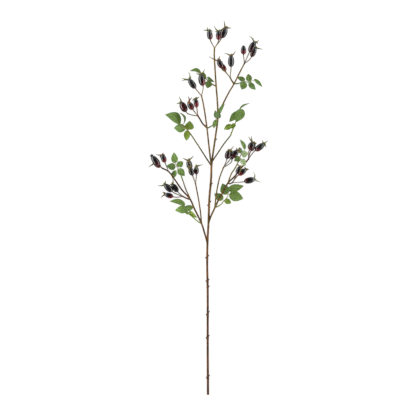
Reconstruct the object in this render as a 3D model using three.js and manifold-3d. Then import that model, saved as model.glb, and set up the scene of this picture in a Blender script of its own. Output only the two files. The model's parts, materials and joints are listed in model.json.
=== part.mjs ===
// A long cut sprig of a dark-fruited rose, lying on a surface. Millimetres, +Z up.
//
// The growth plan is laid out from the cut foot of the stem: x to the right, y along the sprig towards
// its crown, and z above the surface. Headings turn counter-clockwise from +X, in degrees, and a rise is
// the angle above the level. The finished group is moved so that its origin lies under its middle.
import * as THREE from "three";
import { mergeVertices } from "three/addons/utils/BufferGeometryUtils.js";
import Module from "manifold-3d";

const wasm = await Module();
wasm.setup();

// ---- Driving dimensions ------------------------------------------------------------------------------

const MIDDLE = new THREE.Vector3(0.5, 375, 0); // the middle of the sprig, in the growth plan
const GAP = 0.3; // clearance where one piece grows out of another
const FINEST = 0.02; // slivers thinner than this, left along a join or a cut, are merged away
const WELD = 1e-4; // vertices closer than this are one

// How many sides and steps a shape has, seen from its end and along its length.
const FACETS = {
  stem: { sides: 6 },
  bud: { sides: 4, steps: 1 },
  knob: { sides: 6, steps: 4 },
  pedicel: { sides: 5, steps: 2 },
  fruit: { sides: 7, stations: [0, 0.07, 0.27, 0.6, 0.9, 1] },
  sepal: { sides: 3, steps: 1 },
  rachis: { sides: 5 },
  petiolule: { sides: 3, steps: 1 },
  blade: { sides: 4, steps: 6 },
};

const BUD = { reach: 4.2, climb: 2.6, from: 1.7, to: 0.7 }; // a stub on the stem, measured from its core
const KNOB = 1.8; // radius of the swelling where the stalks of a group meet

const PEDICEL = { from: 0.85, to: 1.1, bend: 0.25, inside: 1 }; // the stalk of one hip

// Where a fruit is widest, and how blunt its ends are. A young one without sepals is pointed.
const HIP = { broadest: 0.46, base: 2.3, tip: 2.1 };
const YOUNG_HIP = { broadest: 0.36, base: 2.2, tip: 1.6 };
const CALYX = { rim: 0.2, depth: 0.09 }; // the sepals' roots, as shares of a fruit's width and length

// The dry tails at a hip's tip. The listed ones rise and fall by turns. The spare ones point up and down
// by turns, splayed a little to the sides.
const SEPAL = { from: 0.95, to: 0.25, count: 5, rise: 14, fall: -6, spare: 5.5, forward: 0.7, splay: 0.35 };

const RACHIS = { from: 1.4, to: 0.7, joints: 24 }; // the green stalk; a leaflet leaves it at a joint
const PETIOLULE = 0.5; // radius of the short stalk of one leaflet
const LEAFLET = { broadest: 0.4, point: 1.65, thick: 0.45, fold: 0.22, hold: 0.14 }; // thick is half of it

const FINISHES = {
  bark: { color: 0x6b5440, roughness: 0.85, metalness: 0 },
  twig: { color: 0x7d6b4a, roughness: 0.8, metalness: 0 },
  hip: { color: 0x1d0f16, roughness: 0.25, metalness: 0 },
  leaf: { color: 0x6a8748, roughness: 0.6, metalness: 0 },
};

// ---- Growth plan -------------------------------------------------------------------------------------

// Woody pieces, from the foot up. Each one stands clear of the pieces that it grows from.
const STEMS = {
  main_stem: {
    route: [[0, 0, 2], [-0.6, 100, 3.6], [-0.6, 207, 8], [-1.6, 262, 11], [-1, 305, 13], [1, 346, 15],
      [3, 398, 17.5], [6, 430, 18.5], [7, 462, 19.5]],
    radii: [2.3, 2.1],
    steps: 16,
    buds: [[33, -1], [38, 1], [113, -1], [117, 1], [159, -1], [165, 1], [217, 1], [227, -1], [230, 1],
      [274, -1], [278, 1], [380, -1], [387, 1], [423, 1]],
  },
  centre_shoot: {
    from: ["main_stem"],
    route: [[7, 462, 19.5], [9.6, 481, 20.5], [15.4, 521, 22], [19.5, 553, 23], [18.9, 585, 24],
      [16.4, 617, 24], [13.9, 655, 23.5], [12.5, 681, 23], [13, 695, 23]],
    radii: [1.85, 1.5],
    steps: 11,
    buds: [[512, 1]],
    knob: true,
  },
  left_shoot: {
    from: ["main_stem", "centre_shoot"],
    route: [[7, 462, 19.5], [4.5, 477, 20.5], [1, 507, 22], [-2, 534, 24], [-5, 556, 25.5],
      [-9, 581, 26], [-13, 599, 26]],
    radii: [1.7, 1.45],
    steps: 9,
    knob: true,
  },
  right_shoot: {
    from: ["centre_shoot"],
    route: [[19.5, 553, 23], [24, 571, 25], [29.6, 582.2, 26], [41.5, 605.3, 27], [52, 623, 27],
      [64, 647, 26], [73, 664, 25]],
    radii: [1.6, 1.35],
    steps: 9,
    knob: true,
  },
  middle_right_twig: {
    from: ["right_shoot"],
    route: [[52, 623, 27], [47, 630, 29], [44, 636, 30]],
    radii: [1.6, 1.5],
    steps: 3,
    knob: true,
  },
  middle_left_twig: {
    from: ["left_shoot"],
    route: [[-2.5, 536, 24], [-11, 544, 22], [-15, 551, 20], [-20, 559, 19]],
    radii: [1.6, 1.45],
    steps: 4,
    knob: true,
  },
  left_lower_branch: {
    from: ["main_stem"],
    route: [[-1, 305, 13], [-7, 325, 14], [-13, 344, 15], [-27, 373, 16], [-36, 393, 16.5],
      [-52, 411, 17], [-68, 434, 16], [-79, 448, 14], [-91, 454.5, 12]],
    radii: [1.85, 1.45],
    steps: 12,
    knob: true,
  },
  left_inner_branch: {
    from: ["left_lower_branch"],
    route: [[-13, 344, 15], [-15, 366, 19], [-19, 393, 23], [-23, 414, 26], [-25, 424, 27]],
    radii: [1.4, 1.25],
    steps: 6,
    knob: true,
  },
  low_left_twig: {
    from: ["left_lower_branch"],
    route: [[-36, 392.5, 16.5], [-42, 394, 14.5], [-50, 398, 12]],
    radii: [1.5, 1.4],
    steps: 3,
    knob: true,
  },
  right_lower_branch: {
    from: ["main_stem"],
    route: [[1, 346, 15], [6, 359, 16.5], [14, 376, 18], [23, 395, 19.5], [30, 407, 20], [40, 425, 20],
      [53, 438, 18.5], [69, 458, 16], [81, 473, 14]],
    radii: [1.8, 1.4],
    steps: 11,
    knob: true,
  },
  right_inner_branch: {
    from: ["right_lower_branch"],
    route: [[14, 376, 18], [15, 390, 21], [17, 405, 24], [20, 422, 27], [24, 438, 29], [31, 456, 30]],
    radii: [1.5, 1.3],
    steps: 6,
    knob: true,
  },
  low_right_twig: {
    from: ["right_lower_branch"],
    route: [[40, 425, 20], [44, 423.5, 22.5], [49, 426, 25]],
    radii: [1.35, 1.25],
    steps: 3,
    knob: true,
  },
  left_leaf_stalk: {
    from: ["main_stem", "left_shoot"],
    route: [[6, 461, 19], [-1, 471, 18.5], [-15, 493, 16], [-34, 522, 12.5]],
    radii: [1.4, 1.2],
    steps: 5,
  },
  right_leaf_stalk: {
    from: ["main_stem", "centre_shoot"],
    route: [[8, 468, 20], [17, 481, 18.5], [31, 502, 15], [45, 520, 12.5]],
    radii: [1.4, 1.2],
    steps: 5,
  },
  outer_left_leaf_stalk: {
    from: ["left_lower_branch", "low_left_twig"],
    route: [[-36, 393, 16.5], [-39, 401, 18.5], [-43, 409, 20], [-47, 420, 22], [-51, 432, 23]],
    radii: [1.3, 1.2],
    steps: 4,
  },
  outer_right_leaf_stalk: {
    from: ["right_lower_branch", "low_right_twig"],
    route: [[40, 425, 20], [43, 434, 22], [47, 444, 23], [53, 453, 23.5], [57, 460, 23.5]],
    radii: [1.4, 1.25],
    steps: 4,
  },
};

// Hips in groups of three. Each has the base, heading, rise, length and width of its fruit, and the
// headings and lengths of the sepals that spread sideways; the spare ones point up and down.
const HIPS = {
  crown: {
    on: "centre_shoot",
    hips: [
      { base: [4.7, 711.5, 26], heading: 98, rise: 10, long: 19, wide: 11.8,
        sepals: [[119, 7], [180, 12], [336, 8]] },
      { base: [21, 712, 8], heading: 90, rise: -6, long: 18.5, wide: 10.5,
        sepals: [[130, 14], [200, 7], [25, 8]] },
      { base: [27, 715, 22], heading: 67, rise: 5, long: 23.5, wide: 14, sepals: [[109, 14.5], [350, 11]] },
    ],
  },
  top_right: {
    on: "right_shoot",
    hips: [
      { base: [71, 682, 24], heading: 90, rise: 8, long: 18, wide: 10.8, bare: true },
      { base: [83, 686.5, 24], heading: 63, rise: 6, long: 23.5, wide: 13,
        sepals: [[137, 17], [110, 8], [19, 9], [320, 8]] },
      { base: [87, 678, 8], heading: 66, rise: -6, long: 21, wide: 11, sepals: [[343, 15]] },
    ],
  },
  middle_right: {
    on: "middle_right_twig",
    hips: [
      { base: [46, 656.5, 30], heading: 90, rise: 5, long: 23.5, wide: 12.6,
        sepals: [[168, 14], [45, 12]] },
      { base: [29, 654, 31], heading: 120, rise: 8, long: 19, wide: 11.5,
        sepals: [[159, 19], [63, 9], [352, 7]] },
      { base: [35, 648.5, 19], heading: 118, rise: -8, long: 17, wide: 10, sepals: [[80, 6]] },
    ],
  },
  top_left: {
    on: "left_shoot",
    hips: [
      { base: [-10, 619, 26], heading: 101, rise: 3, long: 24, wide: 14, sepals: [[50, 13], [178, 10]] },
      { base: [-25, 614, 25], heading: 126, rise: 4, long: 23, wide: 12,
        sepals: [[92, 14.5], [174, 14.5], [198, 15], [39, 7]] },
      { base: [-25.5, 615, 11], heading: 126, rise: -6, long: 20, wide: 10, sepals: [] },
    ],
  },
  middle_left: {
    on: "middle_left_twig",
    hips: [
      { base: [-44, 568, 7.6], heading: 118, rise: -2, long: 22, wide: 14,
        sepals: [[108, 12], [201, 9.5]] },
      { base: [-30, 572, 17], heading: 122, rise: 6, long: 18, wide: 12,
        sepals: [[93, 12], [48, 12], [300, 9]] },
      { base: [-22.5, 576, 21], heading: 98, rise: 5, long: 18, wide: 10, sepals: [[25, 9], [222, 8]] },
    ],
  },
  outer_left: {
    on: "left_lower_branch",
    hips: [
      { base: [-97.5, 459.5, 18.6], heading: 128, rise: -3, long: 25, wide: 13.4, sepals: [[100, 4]] },
      { base: [-95, 457.5, 6], heading: 150, rise: -1, long: 16, wide: 10, sepals: [[219, 14], [243, 6]] },
      { base: [-86, 466, 19], heading: 109, rise: 8, long: 17, wide: 10.8, root: [-79, 448, 14],
        sepals: [[178, 13.5], [242, 8], [349, 5.5]] },
    ],
  },
  low_left: {
    on: "low_left_twig",
    hips: [
      { base: [-71.5, 408, 18], heading: 138, rise: 4, long: 21.5, wide: 12.6,
        sepals: [[190, 14], [66, 8.5]] },
      { base: [-60.5, 407.5, 10], heading: 126, rise: -4, long: 19.5, wide: 11.8,
        sepals: [[84, 12], [174, 5]] },
      { base: [-70, 397.5, 5.8], heading: 162, rise: -2, long: 18, wide: 10.5,
        sepals: [[228, 11.5], [145, 6]] },
    ],
  },
  inner_left: {
    on: "left_inner_branch",
    hips: [
      { base: [-35, 452, 20], heading: 103, rise: 3, long: 20, wide: 12,
        sepals: [[163, 12.5], [38, 13.5]] },
      { base: [-30.5, 440, 33], heading: 110, rise: 5, long: 17, wide: 11, sepals: [[40, 5], [160, 7]] },
      { base: [-23, 442, 30], heading: 92, rise: 6, long: 17, wide: 10, sepals: [[13, 14]] },
    ],
  },
  inner_right: {
    on: "right_inner_branch",
    hips: [
      { base: [37.5, 472.5, 36], heading: 78, rise: 6, long: 18, wide: 11.5, sepals: [[40, 14]] },
      { base: [48, 472, 14], heading: 95, rise: 0, long: 16, wide: 10, sepals: [] },
      { base: [46.8, 475, 33], heading: 50, rise: 4, long: 20, wide: 12.4, sepals: [[20, 6], [120, 6]] },
    ],
  },
  outer_right: {
    on: "right_lower_branch",
    hips: [
      { base: [83, 491.5, 18], heading: 65, rise: 8, long: 17, wide: 13,
        sepals: [[130, 15], [105, 13.5], [345, 8]] },
      { base: [86, 489.5, 5.8], heading: 62, rise: -3, long: 16, wide: 10, sepals: [] },
      { base: [94.5, 490, 17], heading: 37, rise: 4, long: 22.5, wide: 12.6,
        sepals: [[40, 10], [119, 8.5], [297, 8.5]] },
    ],
  },
  low_right: {
    on: "low_right_twig",
    hips: [
      { base: [57.5, 443, 32], heading: 65, rise: 6, long: 16.5, wide: 10.5, sepals: [[150, 9]] },
      { base: [61, 441, 21], heading: 38, rise: -4, long: 19.5, wide: 11, sepals: [[133, 6], [0, 6]] },
      { base: [72.5, 428, 7.4], heading: 13, rise: -3, long: 22.5, wide: 12.6,
        sepals: [[105, 15.5], [92, 11], [330, 14]] },
    ],
  },
};

// Compound leaves: the route of the green stalk, and for each leaflet the two ends of its midrib, its
// width, the roll that lifts its right edge (seen from its base), and how far its midrib arches.
const LEAVES = {
  centre_leaf: {
    from: ["centre_shoot"],
    rachis: [[17, 618, 24], [12, 620.5, 21], [6, 624.5, 16], [-2, 632, 12.5], [-8, 638.5, 10.5],
      [-14, 644.5, 9.5]],
    leaflets: [
      { base: [3, 629, 19.5], tip: [-1.5, 614.5, 17], wide: 14, roll: 0, arch: 1 },
      { base: [-1, 637.5, 13], tip: [13, 627, 17], wide: 7.5, roll: -30, arch: 1.5 },
      { base: [-5.5, 633, 12], tip: [-9.5, 648, 8], wide: 7, roll: 0, arch: 1 },
      { base: [-9, 638, 10], tip: [-20, 636, 5], wide: 8, roll: 0, arch: 1 },
      { base: [-14, 645, 11], tip: [-36.5, 649.5, 12], wide: 14.5, roll: -50, arch: 3.8 },
    ],
  },
  top_right_leaf: {
    from: ["right_shoot"],
    rachis: [[52, 623, 27], [62, 624, 25], [71, 628.5, 21], [81, 626.5, 17], [92, 631, 14]],
    leaflets: [
      { base: [74, 630.5, 20], tip: [58.5, 637, 15], wide: 9.5, roll: 0, arch: 1 },
      { base: [74, 627, 20], tip: [67.5, 612, 15], wide: 14.5, roll: 0, arch: 1 },
      { base: [83, 627.5, 16.5], tip: [80.5, 644, 12], wide: 12.5, roll: 0, arch: 1 },
      { base: [81.5, 625.5, 16], tip: [95.5, 612, 9], wide: 11, roll: 0, arch: 1 },
      { base: [92.5, 633, 13.5], tip: [109, 617.5, 9], wide: 8, roll: 20, arch: 1.5 },
    ],
  },
  left_shoot_leaf: {
    from: ["left_shoot"],
    rachis: [[-2, 534, 24.5], [4, 537, 28], [9, 540, 31], [15, 550, 33], [21, 557, 34]],
    leaflets: [
      { base: [16, 551, 33], tip: [11, 534, 30], wide: 9, roll: 0, arch: 1 },
      { base: [18, 554, 34], tip: [14, 570, 37], wide: 10, roll: 0, arch: 1 },
      { base: [22, 554, 33], tip: [24, 564, 35], wide: 6, roll: 0, arch: 1 },
      { base: [20, 557, 32], tip: [22, 569, 31], wide: 7, roll: 0, arch: 1 },
      { base: [21.5, 561, 35], tip: [33.5, 583, 38], wide: 10, roll: 40, arch: 1.5 },
    ],
  },
  left_leaf: {
    from: ["left_leaf_stalk"],
    rachis: [[-34, 522, 12.5], [-43, 533, 11], [-52, 540, 10], [-55, 542, 9.5]],
    leaflets: [
      { base: [-55.5, 544, 9], tip: [-86.5, 562.5, 8], wide: 24, roll: -34, arch: 8 },
      { base: [-48.5, 543.5, 10], tip: [-58, 567, 14], wide: 15, roll: -74, arch: 5 },
      { base: [-45, 534.5, 9.5], tip: [-68.5, 536, 0.6], wide: 17.5, roll: 0, arch: 1 },
      { base: [-38, 532, 12], tip: [-36.5, 549.5, 18], wide: 18.5, roll: 0, arch: 1 },
      { base: [-41, 531, 11], tip: [-43.5, 510, 3], wide: 13, roll: 0, arch: 1 },
    ],
  },
  right_leaf: {
    from: ["right_leaf_stalk"],
    rachis: [[45, 520, 12.5], [48, 528, 13], [51, 535, 13.5], [55, 545, 14], [58, 558, 14], [61, 569, 14]],
    leaflets: [
      { base: [69.5, 572.5, 17.5], tip: [55.5, 546.5, 17], wide: 19, roll: 0, arch: 2 },
      { base: [61, 568, 13], tip: [42.5, 547.5, 8], wide: 13.5, roll: 0, arch: 1 },
      { base: [63, 572.5, 16], tip: [84.5, 585, 17], wide: 13, roll: 74, arch: 1.2 },
      { base: [47.5, 541.5, 13], tip: [32, 532.5, 6], wide: 11, roll: 0, arch: 1 },
      { base: [53.5, 544.5, 16.5], tip: [47.2, 533.5, 15.8], wide: 8.5, roll: 0, arch: 1 },
    ],
  },
  outer_left_leaf: {
    from: ["outer_left_leaf_stalk"],
    rachis: [[-51, 432, 23], [-53, 437, 21.5], [-55.5, 444, 20], [-59.5, 452, 20.5], [-62, 458, 21.5],
      [-65, 464, 22]],
    leaflets: [
      { base: [-66, 465, 22], tip: [-68, 486.5, 26], wide: 13.5, roll: 0, arch: 1 },
      { base: [-65, 457, 22], tip: [-83.5, 459, 27], wide: 14, roll: 0, arch: 1 },
      { base: [-61, 458, 22], tip: [-50, 468, 18], wide: 13, roll: 0, arch: 1 },
      { base: [-59.5, 453, 24], tip: [-46.5, 439, 22], wide: 14, roll: 0, arch: 1 },
      { base: [-65, 450.5, 16], tip: [-71.5, 434, 6], wide: 10.5, roll: 0, arch: 1 },
    ],
  },
  low_left_leaf: {
    from: ["left_lower_branch", "left_inner_branch"],
    rachis: [[-13, 344, 15], [-19, 347, 12.5], [-31, 357, 8], [-40, 364, 6.5], [-46, 372, 6],
      [-49, 380, 6]],
    leaflets: [
      { base: [-45.5, 381, 6.8], tip: [-77.5, 388.5, 4.5], wide: 14.5, roll: -38, arch: 4 },
      { base: [-40, 370, 6], tip: [-66.5, 370.5, 1], wide: 17, roll: -24, arch: 3 },
      { base: [-47, 373, 6.8], tip: [-27, 378, 9], wide: 12, roll: 0, arch: 1 },
      { base: [-37, 369.5, 8], tip: [-21, 355.5, 7.5], wide: 13, roll: -50, arch: 1 },
      { base: [-38, 364, 6.5], tip: [-46, 366, 5], wide: 6, roll: 0, arch: 0.5 },
    ],
  },
  outer_right_leaf: {
    from: ["outer_right_leaf_stalk"],
    rachis: [[57, 460, 23.5], [61, 468, 23.5], [63, 474, 23], [66, 482, 22], [72, 490, 21.5]],
    leaflets: [
      { base: [64.5, 476, 22.5], tip: [52, 469, 23], wide: 12, roll: 0, arch: 1 },
      { base: [65, 484, 21.5], tip: [63, 497, 18], wide: 9, roll: 0, arch: 1 },
      { base: [73.8, 492, 21], tip: [63.5, 512.5, 19], wide: 9, roll: -30, arch: 2.5 },
      { base: [67, 482, 22], tip: [81, 484.5, 26], wide: 14, roll: 0, arch: 1 },
      { base: [67.5, 473.5, 23.5], tip: [74.5, 458.5, 22], wide: 11, roll: 0, arch: 1 },
    ],
  },
  low_right_leaf: {
    from: ["right_lower_branch", "right_inner_branch"],
    rachis: [[14, 376, 18], [19, 378, 15.5], [27, 383, 10.5], [31, 388, 8], [38, 396, 7], [41, 404, 6.5]],
    leaflets: [
      { base: [37, 402, 8], tip: [29, 424.5, 5], wide: 18.5, roll: 0, arch: 1.5 },
      { base: [39.8, 411.5, 7], tip: [72, 419.5, 3], wide: 15.5, roll: 0, arch: 1.5 },
      { base: [42.5, 402.5, 6], tip: [71, 393.5, 0.6], wide: 20.5, roll: 0, arch: 1.5 },
      { base: [30, 392, 8], tip: [12.5, 404, 6], wide: 15, roll: 0, arch: 1 },
      { base: [33, 391.5, 7], tip: [47, 384.5, 2], wide: 11, roll: 0, arch: 0.5 },
    ],
  },
};

// ---- Solids ------------------------------------------------------------------------------------------

const UP = new THREE.Vector3(0, 0, 1);

function at([x, y, z]) {
  return new THREE.Vector3(x, y, z);
}

function radians(degrees) {
  return THREE.MathUtils.degToRad(degrees);
}

// The unit vector with a heading and a rise.
function pointing(heading, rise) {
  const level = Math.cos(radians(rise));
  const turn = radians(heading);
  return new THREE.Vector3(level * Math.cos(turn), level * Math.sin(turn), Math.sin(radians(rise)));
}

function curveThrough(route) {
  return new THREE.CatmullRomCurve3(route.map(at), false, "centripetal");
}

// A geometry whose vertices that meet are one, without the faces that then have no area.
function welded(geometry) {
  const bare = geometry.clone();
  bare.deleteAttribute("normal");
  bare.deleteAttribute("uv");
  const merged = mergeVertices(bare, WELD);
  const corners = merged.index.array;
  const faces = [];
  for (let i = 0; i < corners.length; i += 3) {
    const [a, b, c] = corners.slice(i, i + 3);
    if (a !== b && b !== c && c !== a) faces.push(a, b, c);
  }
  return merged.setIndex(faces);
}

// A three.js geometry as a closed solid.
function toSolid(geometry) {
  const { attributes, index } = welded(geometry);
  return new wasm.Manifold(
    new wasm.Mesh({
      numProp: 3,
      vertProperties: attributes.position.array,
      triVerts: new Uint32Array(index.array),
    }),
  );
}

function union(solids) {
  return solids.reduce((whole, solid) => whole.add(solid));
}

// The solid with room made for its neighbours. A sliver left beyond a neighbour is dropped.
function clearOf(solid, neighbours) {
  const cleared = neighbours.reduce((rest, neighbour) => rest.subtract(neighbour), solid);
  return cleared.decompose().reduce((most, piece) => (piece.volume() > most.volume() ? piece : most));
}

// A round tapering rod along a curve, from one radius to another.
function rod(curve, [from, to], { sides, steps }) {
  const outline = new THREE.Shape();
  for (let i = 0; i < sides; i++) {
    const turn = (2 * Math.PI * i) / sides;
    outline[i ? "lineTo" : "moveTo"](from * Math.cos(turn), from * Math.sin(turn));
  }
  outline.closePath();
  const geometry = new THREE.ExtrudeGeometry(outline, { steps, extrudePath: curve, bevelEnabled: false });
  const centres = curve.getSpacedPoints(steps);
  const spots = geometry.attributes.position;
  const spot = new THREE.Vector3();
  for (let i = 0; i < spots.count; i++) {
    spot.fromBufferAttribute(spots, i);
    const reaches = centres.map((centre) => centre.distanceTo(spot));
    const ring = reaches.indexOf(Math.min(...reaches));
    const share = THREE.MathUtils.lerp(1, to / from, ring / steps);
    spot.sub(centres[ring]).multiplyScalar(share).add(centres[ring]);
    spots.setXYZ(i, spot.x, spot.y, spot.z);
  }
  return toSolid(geometry);
}

function ball(centre, radius) {
  const geometry = new THREE.SphereGeometry(radius, FACETS.knob.sides, FACETS.knob.steps);
  geometry.translate(centre.x, centre.y, centre.z);
  return toSolid(geometry);
}

// ---- Stems -------------------------------------------------------------------------------------------

// A pointed stub on one side of a stem, a given way up the sprig.
function bud(curve, [height, side], spare) {
  const ends = [curve.getPoint(0).y, curve.getPoint(1).y];
  const root = curve.getPointAt((height - ends[0]) / (ends[1] - ends[0]));
  const point = root.clone().add(new THREE.Vector3(side * BUD.reach, BUD.climb, 0));
  return rod(new THREE.LineCurve3(root, point), [BUD.from + spare, BUD.to + spare], FACETS.bud);
}

// A woody piece, with its buds and its knob. A spare of more than 0 makes it that much fatter.
function stem({ route, radii, steps, buds = [], knob = false }, spare) {
  const curve = curveThrough(route);
  const parts = [rod(curve, radii.map((radius) => radius + spare), { ...FACETS.stem, steps })];
  parts.push(...buds.map((place) => bud(curve, place, spare)));
  if (knob) parts.push(ball(curve.getPoint(1), KNOB + spare));
  return union(parts);
}

// ---- Hips --------------------------------------------------------------------------------------------

// The share of its full width that a fruit has at a share of its length.
function fruitShare(t, { broadest, base, tip }) {
  const below = t < broadest;
  const away = below ? (broadest - t) / broadest : (t - broadest) / (1 - broadest);
  return Math.sqrt(1 - away ** (below ? base : tip));
}

function fruit(base, axis, long, wide, form) {
  const { sides, stations } = FACETS.fruit;
  const profile = stations.map((t) => new THREE.Vector2((fruitShare(t, form) * wide) / 2, t * long));
  const geometry = new THREE.LatheGeometry(profile, sides);
  geometry.applyQuaternion(new THREE.Quaternion().setFromUnitVectors(new THREE.Vector3(0, 1, 0), axis));
  geometry.translate(base.x, base.y, base.z);
  return toSolid(geometry);
}

// A dry tail that leaves the rim of the calyx. One that would reach below the surface ends on it.
function sepal(tip, axis, long, wide, direction, length) {
  const outward = direction.clone().addScaledVector(axis, -direction.dot(axis)).normalize();
  const root = tip.clone().addScaledVector(axis, -CALYX.depth * long);
  root.addScaledVector(outward, CALYX.rim * wide);
  const end = tip.clone().addScaledVector(direction, length);
  end.z = Math.max(end.z, SEPAL.to);
  return rod(new THREE.LineCurve3(root, end), [SEPAL.from, SEPAL.to], FACETS.sepal);
}

// The directions and lengths of all the sepals: the listed ones, and spare ones that point up and down.
function sepalPlan(listed, axis) {
  const { count, rise, fall, spare, forward, splay } = SEPAL;
  const plan = listed.map(([heading, length], i) => [pointing(heading, i % 2 ? fall : rise), length]);
  const across = new THREE.Vector3().crossVectors(axis, UP).normalize();
  for (let i = plan.length; i < count; i++) {
    const direction = axis.clone().multiplyScalar(forward);
    direction.addScaledVector(UP, i % 2 ? 1 : -1);
    direction.addScaledVector(across, (i - 2) * splay);
    plan.push([direction.normalize(), spare]);
  }
  return plan;
}

// The curve of a hip's stalk, from the fork to just inside the fruit.
function pedicelCurve(root, base, axis) {
  const bend = base.clone().addScaledVector(axis, -PEDICEL.bend * root.distanceTo(base));
  return new THREE.QuadraticBezierCurve3(root, bend, base.clone().addScaledVector(axis, PEDICEL.inside));
}

function pedicel(curve, spare) {
  return rod(curve, [PEDICEL.from + spare, PEDICEL.to + spare], FACETS.pedicel);
}

// A group of three hips on one fork, each clear of the twig and of the stalks beside it.
function hipGroup(group, { on, hips }, room) {
  const fork = at(STEMS[on].route.at(-1));
  const taken = [room[on]];
  return hips.map(({ base, heading, rise, long, wide, root, bare = false, sepals = [] }, i) => {
    const axis = pointing(heading, rise);
    const foot = at(base);
    const stalk = pedicelCurve(root ? at(root) : fork, foot, axis);
    const tip = foot.clone().addScaledVector(axis, long);
    const parts = [pedicel(stalk, 0), fruit(foot, axis, long, wide, bare ? YOUNG_HIP : HIP)];
    if (!bare) {
      const tails = sepalPlan(sepals, axis);
      parts.push(...tails.map(([way, reach]) => sepal(tip, axis, long, wide, way, reach)));
    }
    const solid = clearOf(union(parts), taken);
    taken.push(pedicel(stalk, GAP));
    return [`${group}_hip_${i + 1}`, solid, "hip"];
  });
}

// ---- Leaves ------------------------------------------------------------------------------------------

// The share of its full width that a leaflet has at a share of its length.
function leafletShare(t) {
  const { broadest, point } = LEAFLET;
  if (t < broadest) return Math.sqrt(1 - ((broadest - t) / broadest) ** 2);
  return 1 - ((t - broadest) / (1 - broadest)) ** point;
}

// A leaflet's midrib and the two directions across it.
function leafletFrame({ base, tip, roll, arch }) {
  const from = at(base);
  const along = at(tip).sub(from);
  const level = new THREE.Vector3().crossVectors(along, UP).normalize();
  const right = level.clone().applyAxisAngle(along.clone().normalize(), -radians(roll));
  const normal = new THREE.Vector3().crossVectors(right, along).normalize();
  const midrib = (t) =>
    from.clone().addScaledVector(along, t).addScaledVector(normal, arch * Math.sin(Math.PI * t));
  return { midrib, right, normal };
}

// A pointed oval blade with a sharp edge, folded up along its midrib. It lies along the surface where
// it would reach below it.
function blade(leaflet) {
  const { midrib, right, normal } = leafletFrame(leaflet);
  const geometry = new THREE.SphereGeometry(1, FACETS.blade.sides, FACETS.blade.steps);
  const spots = geometry.attributes.position;
  for (let i = 0; i < spots.count; i++) {
    const polar = Math.acos(THREE.MathUtils.clamp(spots.getY(i), -1, 1));
    const t = 1 - polar / Math.PI;
    const ring = Math.sin(polar);
    const pole = ring < WELD;
    const side = pole ? 0 : spots.getX(i) / ring;
    const face = pole ? 0 : spots.getZ(i) / ring;
    const half = (leaflet.wide / 2) * leafletShare(t);
    const spot = midrib(t).addScaledVector(right, side * half);
    spot.addScaledVector(normal, LEAFLET.fold * half * Math.abs(side));
    spot.z = Math.max(spot.z, LEAFLET.thick);
    spot.addScaledVector(normal, face * LEAFLET.thick);
    spots.setXYZ(i, spot.x, spot.y, spot.z);
  }
  return toSolid(geometry);
}

// The short stalk from the nearest point of the green stalk to just inside the blade.
function petiolule(leaflet, rachis) {
  const { midrib } = leafletFrame(leaflet);
  const hold = midrib(LEAFLET.hold);
  const foot = midrib(0);
  const joints = rachis.getSpacedPoints(RACHIS.joints);
  const root = joints.reduce((best, joint) =>
    joint.distanceTo(foot) < best.distanceTo(foot) ? joint : best,
  );
  return rod(new THREE.LineCurve3(root, hold), [PETIOLULE, PETIOLULE], FACETS.petiolule);
}

function compoundLeaf({ rachis, leaflets }) {
  const curve = curveThrough(rachis);
  const parts = [rod(curve, [RACHIS.from, RACHIS.to], { ...FACETS.rachis, steps: rachis.length })];
  for (const leaflet of leaflets) {
    parts.push(blade(leaflet));
    parts.push(petiolule(leaflet, curve));
  }
  return union(parts);
}

// ---- Assembly ----------------------------------------------------------------------------------------

// A named mesh of a solid.
function toMesh(name, solid, finish) {
  const { vertProperties, triVerts } = solid.simplify(FINEST).getMesh();
  const cut = new THREE.BufferGeometry();
  cut.setAttribute("position", new THREE.BufferAttribute(vertProperties, 3));
  cut.setIndex(new THREE.BufferAttribute(triVerts, 1));
  const geometry = welded(cut);
  geometry.computeVertexNormals();
  const mesh = new THREE.Mesh(geometry, new THREE.MeshStandardMaterial(FINISHES[finish]));
  mesh.name = name;
  return mesh;
}

function buildSprig() {
  const sprig = new THREE.Group();
  const room = {};
  for (const [name, plan] of Object.entries(STEMS)) {
    const solid = clearOf(stem(plan, 0), (plan.from ?? []).map((parent) => room[parent]));
    room[name] = stem(plan, GAP);
    sprig.add(toMesh(name, solid, name === "main_stem" ? "bark" : "twig"));
  }
  for (const [group, plan] of Object.entries(HIPS)) {
    for (const piece of hipGroup(group, plan, room)) sprig.add(toMesh(...piece));
  }
  for (const [name, plan] of Object.entries(LEAVES)) {
    const solid = clearOf(compoundLeaf(plan), plan.from.map((parent) => room[parent]));
    sprig.add(toMesh(name, solid, "leaf"));
  }
  sprig.position.copy(MIDDLE).negate();
  return sprig;
}

export default buildSprig();
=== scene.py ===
"""Dresses a long cut sprig of a dark-fruited rose, lying on a pale surface.

The growth plan is the one that the frame was modelled from, in millimetres: x to the right, y along the
sprig from the cut foot of its stem to its crown, and z above the surface. Headings turn counter-clockwise
from +X, in degrees, and a rise is the angle above the level. Meshes are in metres, in the frame.
"""

from __future__ import annotations

import json
import logging
import math
from collections.abc import Sequence
from dataclasses import dataclass, field
from enum import Enum

import bpy
import numpy as np
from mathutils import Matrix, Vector
from mathutils import noise as smooth_noise

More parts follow.
